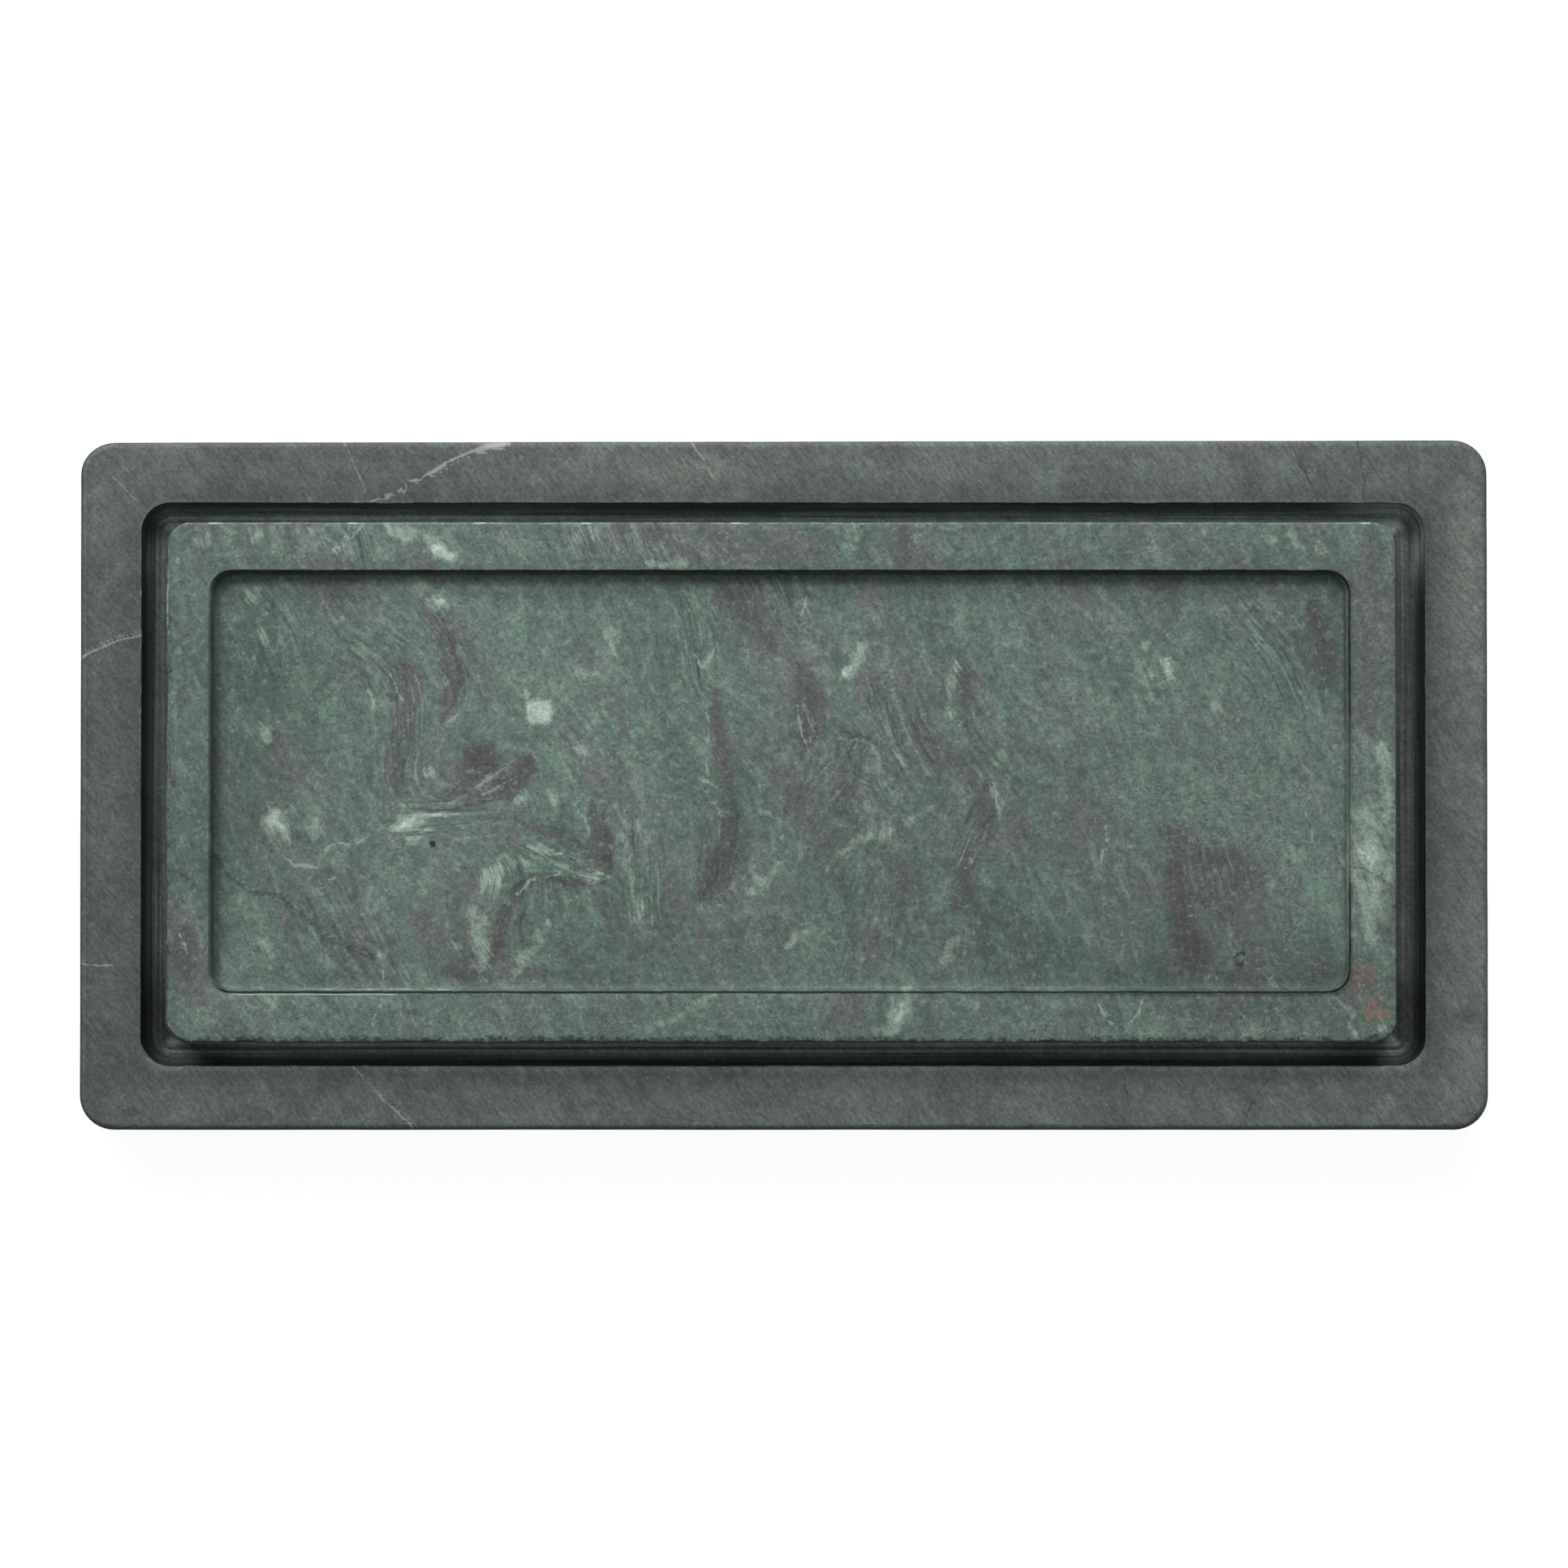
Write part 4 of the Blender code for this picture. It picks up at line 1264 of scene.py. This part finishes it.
def outer_stone():
    """The larger tray. Its back edge isn't quite square to the others, and its pocket is sawn."""
    box = (outer_low.x, outer_low.y + FRONT_EDGE_BACK, outer_high.x, outer_high.y)
    pocket = inset((outer_low.x, outer_low.y, outer_high.x, outer_high.y),
                   RIM_LEFT, RIM_FRONT, RIM_RIGHT, RIM_BACK)
    top, bottom = outer_high.z, outer_low.z
    stone = Stone(("grime", "wear", "pocket", "from_mouth", "along", "dust"),
                  along=LOOP.phase * 2 * (box[2] - box[0] + box[3] - box[1]))
    to_left = (box[2] - LOOP.points(box, OUTER_CORNER)[:, 0]) / (box[2] - box[0])
    side = -BACK_EDGE_SKEW * to_left * LOOP.back + LOOP.dents(3, (5, 9, 14, 23, 37), FAINT_DENT)
    nicks = LOOP.chips(5, 60, (0.0012, 0.004))
    rough = DENT * LOOP.wobble(8, (7, 13, 22, 41, 66, 97)) - POCKET_CHIP * LOOP.chips(9, 50, (0.0008, 0.003))

    add_underside(stone, box, OUTER_CORNER, bottom, OUTER_ARRIS)
    add_side(stone, box, OUTER_CORNER, bottom + OUTER_ARRIS, top - OUTER_ROUND, 11, side, 0.35)
    # Rounded edge: painted shade on the left, front and right, and a darker line low on the back
    for inwards, down in rounded_edge(6)[::-1]:
        stone.add(box, OUTER_CORNER, top - OUTER_ROUND * down - NICK_DEPTH * nicks * (down > 0),
                  side - OUTER_ROUND * inwards,
                  grime=OUTER.edge_grime * smooth(-0.15, 0.6, down)
                  + OUTER.low_edge_grime * smooth(0.3, 0.8, down))
    # Across the rim: painted shade towards the pocket, painted light at the front mouth, and a darker tone
    # near the outer edge
    for number, share in enumerate(np.linspace(0.01, 0.985, 15)):
        radius = (OUTER_CORNER - OUTER_ROUND) * (1 - share) + POCKET_CORNER * share
        ripple = LOOP.dents(40 + number, (3, 8, 15), DENT, 2) * smooth(0.0, 0.25, share)
        stone.add(between(inset(box, OUTER_ROUND), pocket, share), radius, top + ripple,
                  side * (1 - share) + rough * share,
                  grime=OUTER.inside_grime * share ** 2.5 + OUTER.rim_grime
                  + OUTER.wide_inside_grime * share ** 1.5
                  + OUTER.outside_grime * (1 - smooth(0, 0.14, share))
                  - OUTER.front_mouth_light * smooth(0.88, 1.0, share))

    # The pocket's mouth: painted shade, with painted light and a painted highlight at the front
    for inwards, down in rounded_edge(3):
        stone.add(inset(pocket, POCKET_ARRIS * (1 - inwards)), POCKET_CORNER, top - POCKET_ARRIS * down,
                  rough, wear=OUTER.mouth_wear * (0.3 + 0.7 * down),
                  grime=OUTER.mouth_grime * (0.5 + 0.5 * down))
    # Painted shade down the walls and in the cove, less round the back right corner; painted light on the
    # floor, side by side, less at the front corners
    less_shaded_corner = LOOP.near((pocket[2], pocket[3]), LESS_SHADED_CORNER)
    less_lit_corners = sum(LOOP.near((pocket[side], pocket[1]), LESS_LIT_CORNER) for side in (0, 2))
    dust = OUTER.dust * (1 - 0.55 * less_lit_corners)
    wall_top, floor = top - POCKET_ARRIS, top - POCKET_DEPTH
    wall_foot = floor + POCKET_COVE
    for share in np.linspace(0.08, 1, 6):
        lean = POCKET_ARRIS + POCKET_LEAN * share * (wall_top - wall_foot) / POCKET_DEPTH
        stone.add(inset(pocket, lean), POCKET_CORNER, wall_top + (wall_foot - wall_top) * share,
                  rough * (1 - share), dust=dust, from_mouth=lean, pocket=smooth(0, 0.3, share),
                  grime=(0.88 - 0.26 * share + OUTER.wall_grime) * (1 - 0.7 * less_shaded_corner))
    for angle, reach, drop in cove(12, 7, POCKET_LEAN, POCKET_COVE):
        stone.add(inset(pocket, reach), max(POCKET_CORNER - reach, 3 * MM), wall_foot - drop,
                  from_mouth=reach, pocket=1.0, dust=dust * floor_painted_light(reach),
                  grime=0.62 * (1 - (angle / 90) ** 3) * (1 - less_shaded_corner))
    saw_start = POCKET_LEAN + POCKET_COVE + SAW_STEP
    for number, reach in enumerate(np.arange(saw_start, SAW_REACH, SAW_STEP)):
        ridge = SAW_DEPTH * (np.random.default_rng(100 + number).random() - 0.8)
        ridge = ridge + SAW_WAVER * LOOP.wobble(200 + number, (4, 9, 16))
        stone.add(inset(pocket, reach), max(POCKET_CORNER - reach, 1.5 * MM), floor + np.minimum(ridge, 0),
                  from_mouth=reach, pocket=1.0, dust=dust * floor_painted_light(reach))
    for reach in np.linspace(PLAIN_FLOOR_START, (pocket[3] - pocket[1]) / 2 - 0.5 * MM, 12):
        stone.add(inset(pocket, reach), 1.5 * MM, floor, from_mouth=reach, pocket=1.0,
                  dust=1 + (dust - 1) * (reach < PAINTED_LIGHT_REACH))
    return stone.build("outer_stone", dark_stone(), dark_pattern(stone.pixels(), stone.field("pocket")))


# Single painted lines at the dish's mouth. A highlight is painted on its front edge between two columns of
# the photograph, and on the wall below it. Painted shade makes the edge dark from the first column to the
# second. On the right the dark line is faint between two rows. Highlight specks are painted on the tray's
# back edge at the last columns.
HIGHLIGHT_EDGE_PIXELS = (275, 500)
HIGHLIGHT_WALL_PIXELS = (335, 660)
SHADED_EDGE_PIXELS = (1000, 1480)
FAINT_RIGHT_PIXELS = (920, 1060)
BACK_HIGHLIGHT_PIXELS = (266, 436, 593, 723, 907, 1680)

# The ledge that stands back under the inner tray's rim. For each loop: how far under the rim it is, and its
# shares of the outline's unevenness and of the ledge's depth.
LEDGE = ((2.2 * MM, 0.4, 0.1), (1.9 * MM, 0.6, 0.6), (1.4 * MM, 1, 1.3))
LEDGE_FOOT = 2.6 * MM

# Relief, painted shade and light, wear and painted highlights of the inner tray on its left, front, right and
# back side
INNER = by_sides(
    waves=(0.00020, 0.00008, 0.00003, 0.00004),
    nicks=(0.00015, 0.00022, 0.00008, 0.00004),
    fine=(0.00005, 0.00008, 0.00002, 0.0),
    ledge=(0.00030, 0.00008, 0.0, 0.0),
    ledge_wear=(0.8, 0.1, 0.0, 0.0),
    ledge_grime=(0.75, 0.6, 0.5, 0.2),
    upper_ledge_grime=(0.85, 0.7, 0.5, 0.2),
    edge_nicks=(0.0002, 0.0003, 0.0001, 0.0001),
    edge_wear=(0.2, 0.05, 0.25, 0.8),
    edge_grime=(0.25, 0.5, 0.25, 0.12),
    edge_chipped=(0.5, 1.3, 0.4, 0.1),
    rim_chipped=(0.5, 1.0, 0.4, 0.1),
    outside_grime=(0.08, 0.18, 0.05, -0.14),
    inside_grime=(0.05, -0.26, 0.04, 0.14),
    mouth_rim_grime=(0.0, 0.0, 0.3, 0.0),
    mouth_grime=(0.0, 1.1, 0.9, 0.2),
    mouth_wear=(0.2, 0.0, 0.0, 0.0),
    line_grime=(-0.1, 1.1, 0.9, 0.85),
    under_line_grime=(0.0, 0.4, 0.0, 0.0),
    wall_grime=(0.50, 0.10, 0.02, 0.70),
    cove_grime=(0.50, 0.12, 0.35, 0.46),
    cove_foot_grime=(0.38, 0.0, 0.0, -0.45),
    floor_back_light=(0.0, 0.0, 0.0, -0.75),
    floor_left_grime=(0.38, 0.0, 0.0, 0.0))


def inner_edge():
    """The inner tray's uneven outline, and the nicks in it."""
    nicks = LOOP.chips(23, 90, (0.0008, 0.003))
    edge = INNER.waves * (LOOP.wobble(21, (6, 11, 19, 33, 52)) - 1) - INNER.nicks * nicks
    return np.minimum(edge + INNER.fine * LOOP.wobble(22, (70, 95, 130, 171, 210)), 0), nicks


def dish_lines(dish):
    """Where painted highlight and shade lines run along the dish's mouth, round the loop."""
    x, y = LOOP.points(dish, DISH_CORNER).T
    (edge_start, edge_end), (wall_start, wall_end), (dark_start, dark_end) = (
        (x_at(start), x_at(end)) for start, end in (HIGHLIGHT_EDGE_PIXELS, HIGHLIGHT_WALL_PIXELS, SHADED_EDGE_PIXELS))
    upper, lower = (y_at(pixel) for pixel in FAINT_RIGHT_PIXELS)
    above = smooth(upper, upper + 12 * MM, y)
    return SimpleNamespace(
        highlit_edge=LOOP.front * smooth(edge_start, edge_start + 6 * MM, x)
        * (1 - smooth(edge_end - 3 * MM, edge_end, x)),
        highlit_wall=LOOP.front * smooth(wall_start, wall_start + 6 * MM, x)
        * (1 - smooth(wall_end - 30 * MM, wall_end, x)),
        shaded_edge=LOOP.front * smooth(dark_start, dark_end, x),
        upper_right=LOOP.right * above,
        faint_right=LOOP.right * (1 - above) * smooth(lower - 12 * MM, lower, y))


def inner_stone():
    """The loose tray. Its left and front edges are worn, and painted shade makes a dark line round its dish's
    mouth.
    """
    box = (inner_low.x, inner_low.y, inner_high.x, inner_high.y - INNER_BACK_IN)
    dish = inset(box, DISH_RIM_LEFT, DISH_RIM_FRONT - DISH_FRONT_WIDER, DISH_RIM_RIGHT, DISH_RIM_BACK)
    top, bottom = inner_high.z, inner_low.z
    stone = Stone(("grime", "wear", "chipped"))
    edge, nicks = inner_edge()
    lines = dish_lines(dish)
    mouth = DENT * LOOP.wobble(24, (9, 15, 26, 44, 71, 103)) - DISH_CHIP * LOOP.chips(25, 40, (0.001, 0.004))

    add_underside(stone, box, INNER_CORNER, bottom, INNER_ARRIS)
    add_side(stone, box, INNER_CORNER, bottom + INNER_ARRIS, top - LEDGE_FOOT, 31, edge * 0.3, 0.15)
    # The ledge: worn light on the left, then painted shade in the hollow under the rim
    ledge_looks = ({"wear": INNER.ledge_wear}, {"grime": INNER.ledge_grime},
                   {"grime": INNER.upper_ledge_grime})
    for (down, edge_share, ledge_share), looks in zip(LEDGE, ledge_looks):
        stone.add(box, INNER_CORNER, top - down, edge * edge_share - INNER.ledge * ledge_share, **looks)
    # Highlight specks painted on the back edge
    edge_x = LOOP.points(box, INNER_CORNER)[:, 0]
    specks = LOOP.back * sum(1 - smooth(2.5 * PIXEL, 7 * PIXEL, abs(edge_x - x_at(pixel)))
                             for pixel in BACK_HIGHLIGHT_PIXELS)
    # The rounded edge: wear and painted highlights at its top, and painted shade down towards the side, most
    # at the front
    for inwards, down in rounded_edge(5)[::-1]:
        stone.add(box, INNER_CORNER, top - INNER_ROUND * down - INNER.edge_nicks * nicks * (down > 0),
                  edge - INNER.ledge - INNER_ROUND * inwards,
                  wear=(INNER.edge_wear + 1.5 * specks) * (down > 0) * (1 - 0.6 * down),
                  grime=INNER.edge_grime * down, chipped=INNER.edge_chipped)
    # Across the rim: painted light and shade by side near both edges, and a painted highlight and a painted
    # shade line by the mouth
    for share in np.concatenate(((0.008,), np.linspace(0.06, 0.87, 11), (0.915, 0.945, 0.985))):
        radius = (INNER_CORNER - INNER_ROUND) * (1 - share) + DISH_CORNER * share
        ripple = LOOP.dents(60 + int(20 * share), (4, 9, 17), FAINT_DENT, 2) * smooth(0, 0.2, share)
        stone.add(between(inset(box, INNER_ROUND), dish, share), radius,
                  top + ripple * smooth(0, 0.15, 1 - share),
                  (edge - INNER.ledge) * (1 - share) + mouth * share,
                  wear=1.6 * lines.highlit_edge * smooth(0.94, 0.98, share),
                  chipped=INNER.rim_chipped * (1 - smooth(0.02, 0.14, share)),
                  grime=INNER.outside_grime * (1 - smooth(0.0, 0.16, share))
                  + INNER.inside_grime * smooth(0.55, 1.0, share)
                  + 0.62 * lines.shaded_edge * smooth(0.90, 0.985, share)
                  + INNER.mouth_rim_grime * smooth(0.96, 0.985, share))

    # The dish's mouth: a painted shade line, faint at the right
    for inwards, down in rounded_edge(3):
        stone.add(inset(dish, DISH_ARRIS * (1 - inwards)), DISH_CORNER, top - DISH_ARRIS * down, mouth,
                  grime=INNER.mouth_grime * (0.35 + 0.65 * down) - 0.4 * lines.faint_right,
                  wear=INNER.mouth_wear * down)
    wall_top, floor = top - DISH_ARRIS, top - DISH_DEPTH
    foot = floor + DISH_COVE
    # Down the dish's wall: a painted shade line below the mouth, painted shade on the left and back walls,
    # and a painted highlight on the front
    for share in (0.08, 0.28, 0.5, 0.75, 1):
        stone.add(inset(dish, DISH_ARRIS + (DISH_LEAN - DISH_ARRIS) * share), DISH_CORNER,
                  wall_top + (foot - wall_top) * share, mouth * (1 - share),
                  wear=0.7 * lines.highlit_wall * (share > 0.7),
                  grime=(INNER.line_grime - 0.5 * lines.faint_right) * (share < 0.3)
                  + INNER.under_line_grime * (0.3 < share < 0.6) + INNER.wall_grime * (share >= 0.3))
    # The cove: painted shade, with painted light at the foot of the back wall
    for angle, reach, drop in cove(15, 6, DISH_LEAN, DISH_COVE):
        stone.add(inset(dish, reach), max(DISH_CORNER - reach, 2 * MM), foot - drop,
                  wear=0.9 * lines.highlit_wall * (angle < 40),
                  grime=INNER.cove_grime * (1 - angle / 90) + INNER.cove_foot_grime * angle / 90
                  + 0.3 * lines.upper_right * max(0, 1 - abs(angle - 40) / 40))
    start, end = DISH_LEAN + DISH_COVE + 0.5 * MM, (dish[3] - dish[1]) / 2 - 0.5 * MM
    # The floor: painted light by the back wall, and a painted shadow by the left wall
    for number, reach in enumerate(np.linspace(start, end, 52)):
        stone.add(inset(dish, reach), max(DISH_CORNER - reach, 0.4 * MM),
                  floor + LOOP.dents(300 + number, (3, 7, 12), FAINT_DENT, 2),
                  grime=INNER.floor_back_light * (1 - smooth(0.0030, 0.0075, reach))
                  + INNER.floor_left_grime * (1 - smooth(0.0026, 0.0036, reach)))
    return stone.build("inner_stone", green_marble(), green_pattern(stone.pixels()))


# Pads: points round one, their profiles as shares of the radius and the height from bottom to top, and how
# ragged the felt is, as a share of the radius
PAD_POINTS = 72
FELT_PROFILE = ((0.3, 0.0), (0.7, 0.01), (0.93, 0.02), (0.975, 0.10), (0.995, 0.3), (1.0, 0.55), (0.99, 0.8),
                (0.97, 0.95), (0.94, 1.0), (0.4, 1.0))
BUMPER_PROFILE = ((0.2, 0.0), (0.6, 0.01), (0.76, 0.06), (0.82, 0.2), (0.87, 0.42), (0.92, 0.66),
                  (0.975, 0.88), (1.0, 0.96), (1.0, 1.0), (0.4, 1.0))
FELT_RAGGED = 0.018
CORNERS = ("front_left", "front_right", "back_left", "back_right")


def turned_pad(node, profile, ragged, material, name):
    """A round pad in a CAD pad's place, with an edge that is ragged by a share of its radius."""
    low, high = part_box(node)
    centre, radius, height = (low + high) / 2, (high.x - low.x) / 2, high.z - low.z
    uneven = 1 - ragged * np.random.default_rng(sum(map(ord, name))).random(PAD_POINTS)
    points = []
    for across, up in profile:
        for number in range(PAD_POINTS):
            angle = 2 * math.pi * number / PAD_POINTS
            reach = radius * across * (uneven[number] if across > 0.5 else 1)
            points.append((centre.x + reach * math.cos(angle), centre.y + reach * math.sin(angle),
                           low.z + height * up))
    last = (len(profile) - 1) * PAD_POINTS
    faces = [tuple(reversed(range(PAD_POINTS))), tuple(range(last, last + PAD_POINTS))]
    for base in range(0, last, PAD_POINTS):
        for number in range(PAD_POINTS):
            here, ahead = base + number, base + (number + 1) % PAD_POINTS
            faces.append((here, ahead, ahead + PAD_POINTS, here + PAD_POINTS))
    mesh = bpy.data.meshes.new(name)
    mesh.from_pydata(points, [], faces)
    mesh.shade_smooth()
    mesh.set_sharp_from_angle(angle=math.radians(50))
    return placed(name, mesh, material)


def add_pieces():
    outer = outer_stone()
    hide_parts("outer_tray")
    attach(outer, "outer")
    inner = inner_stone()
    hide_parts("inner_tray")
    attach(inner, "inner")
    felt, silicone = grey_felt(), clear_silicone()
    for corner in CORNERS:
        pad = turned_pad(f"felt_pad_{corner}", FELT_PROFILE, FELT_RAGGED, felt, f"felt_disc_{corner}")
        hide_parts(f"felt_pad_{corner}")
        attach(pad, "outer")
        bumper = turned_pad(f"bumper_{corner}", BUMPER_PROFILE, 0.0, silicone, f"silicone_bumper_{corner}")
        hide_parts(f"bumper_{corner}")
        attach(bumper, "inner")


# The studio: one window of soft light at the back, and a pale floor that is seen white
LAMP_DISTANCE = 1.5
LAMP_ELEVATION = math.radians(42)
LAMP_TURN = math.radians(12)
LAMP_SIZE = (2.4, 0.8)
LAMP_POWER = 36.0
WORLD_STRENGTH = 0.2
FLOOR_SIZE = 3.0
FLOOR_PAINT = (0.6, 0.6, 0.6, 1)
SHADOW_PAINT = (0.14, 0.14, 0.14, 1)
FLOOR_ROUGHNESS = 0.9
FLOOR_GLOW = 0.95
WHITE = (1, 1, 1, 1)


def add_camera():
    data = bpy.data.cameras.new("camera")
    data.sensor_width = SENSOR
    data.lens = LENS
    camera = bpy.data.objects.new("camera", data)
    camera.location = CAMERA_PLACE
    camera.rotation_euler = CAMERA_TURN
    bpy.context.scene.collection.objects.link(camera)
    bpy.context.scene.camera = camera


def add_lamp():
    data = bpy.data.lights.new("window", "AREA")
    data.shape = "RECTANGLE"
    data.size, data.size_y = LAMP_SIZE
    data.energy = LAMP_POWER
    lamp = bpy.data.objects.new("window", data)
    level = LAMP_DISTANCE * math.cos(LAMP_ELEVATION)
    lamp.location = (-level * math.sin(LAMP_TURN), level * math.cos(LAMP_TURN),
                     LAMP_DISTANCE * math.sin(LAMP_ELEVATION))
    lamp.rotation_euler = (-lamp.location).to_track_quat("-Z", "Y").to_euler()
    bpy.context.scene.collection.objects.link(lamp)


def seen_rays(tree):
    """1 for the rays that see the backdrop white: the camera's, and those through or off a glossy surface."""
    rays = tree.nodes.new("ShaderNodeLightPath")
    total = rays.outputs["Is Camera Ray"]
    for name in ("Is Glossy Ray", "Is Transmission Ray"):
        larger = tree.nodes.new("ShaderNodeMath")
        larger.operation = "MAXIMUM"
        tree.links.new(total, larger.inputs[0])
        tree.links.new(rays.outputs[name], larger.inputs[1])
        total = larger.outputs[0]
    return total


def join_seen(tree, lighting, seen, output):
    """Gives the output one shader for its lighting, and another for the rays that see it."""
    choose = tree.nodes.new("ShaderNodeMixShader")
    for socket, value in zip(choose.inputs, (seen_rays(tree), lighting.outputs[0], seen.outputs[0])):
        tree.links.new(value, socket)
    tree.links.new(choose.outputs[0], tree.nodes[output].inputs["Surface"])


def add_world():
    world = bpy.data.worlds.new("studio")
    bpy.context.scene.world = world
    world.use_nodes = True
    tree = world.node_tree
    soft = tree.nodes["Background"]
    soft.inputs["Color"].default_value = WHITE
    soft.inputs["Strength"].default_value = WORLD_STRENGTH
    seen = tree.nodes.new("ShaderNodeBackground")
    seen.inputs["Color"].default_value = WHITE
    seen.inputs["Strength"].default_value = 1.0
    join_seen(tree, soft, seen, "World Output")


def add_floor():
    """A pale floor. The camera sees it white, with the object's shadow on it."""
    half = FLOOR_SIZE / 2
    mesh = bpy.data.meshes.new("floor")
    corners = ((-half, -half, 0), (half, -half, 0), (half, half, 0), (-half, half, 0))
    mesh.from_pydata(corners, [], [(0, 1, 2, 3)])
    material = bpy.data.materials.new("studio_floor")
    material.use_nodes = True
    tree = material.node_tree
    plain = tree.nodes["Principled BSDF"]
    plain.inputs["Base Color"].default_value = FLOOR_PAINT
    plain.inputs["Roughness"].default_value = FLOOR_ROUGHNESS
    glow = tree.nodes.new("ShaderNodeEmission")
    glow.inputs["Strength"].default_value = FLOOR_GLOW
    white = tree.nodes.new("ShaderNodeAddShader")
    paint = tree.nodes.new("ShaderNodeBsdfDiffuse")
    paint.inputs["Color"].default_value = SHADOW_PAINT
    tree.links.new(glow.outputs[0], white.inputs[0])
    tree.links.new(paint.outputs[0], white.inputs[1])
    join_seen(tree, plain, white, "Material Output")
    placed("floor", mesh, material)


add_pieces()
add_camera()
add_lamp()
add_world()
add_floor()
bpy.context.scene.view_settings.view_transform = "Standard"
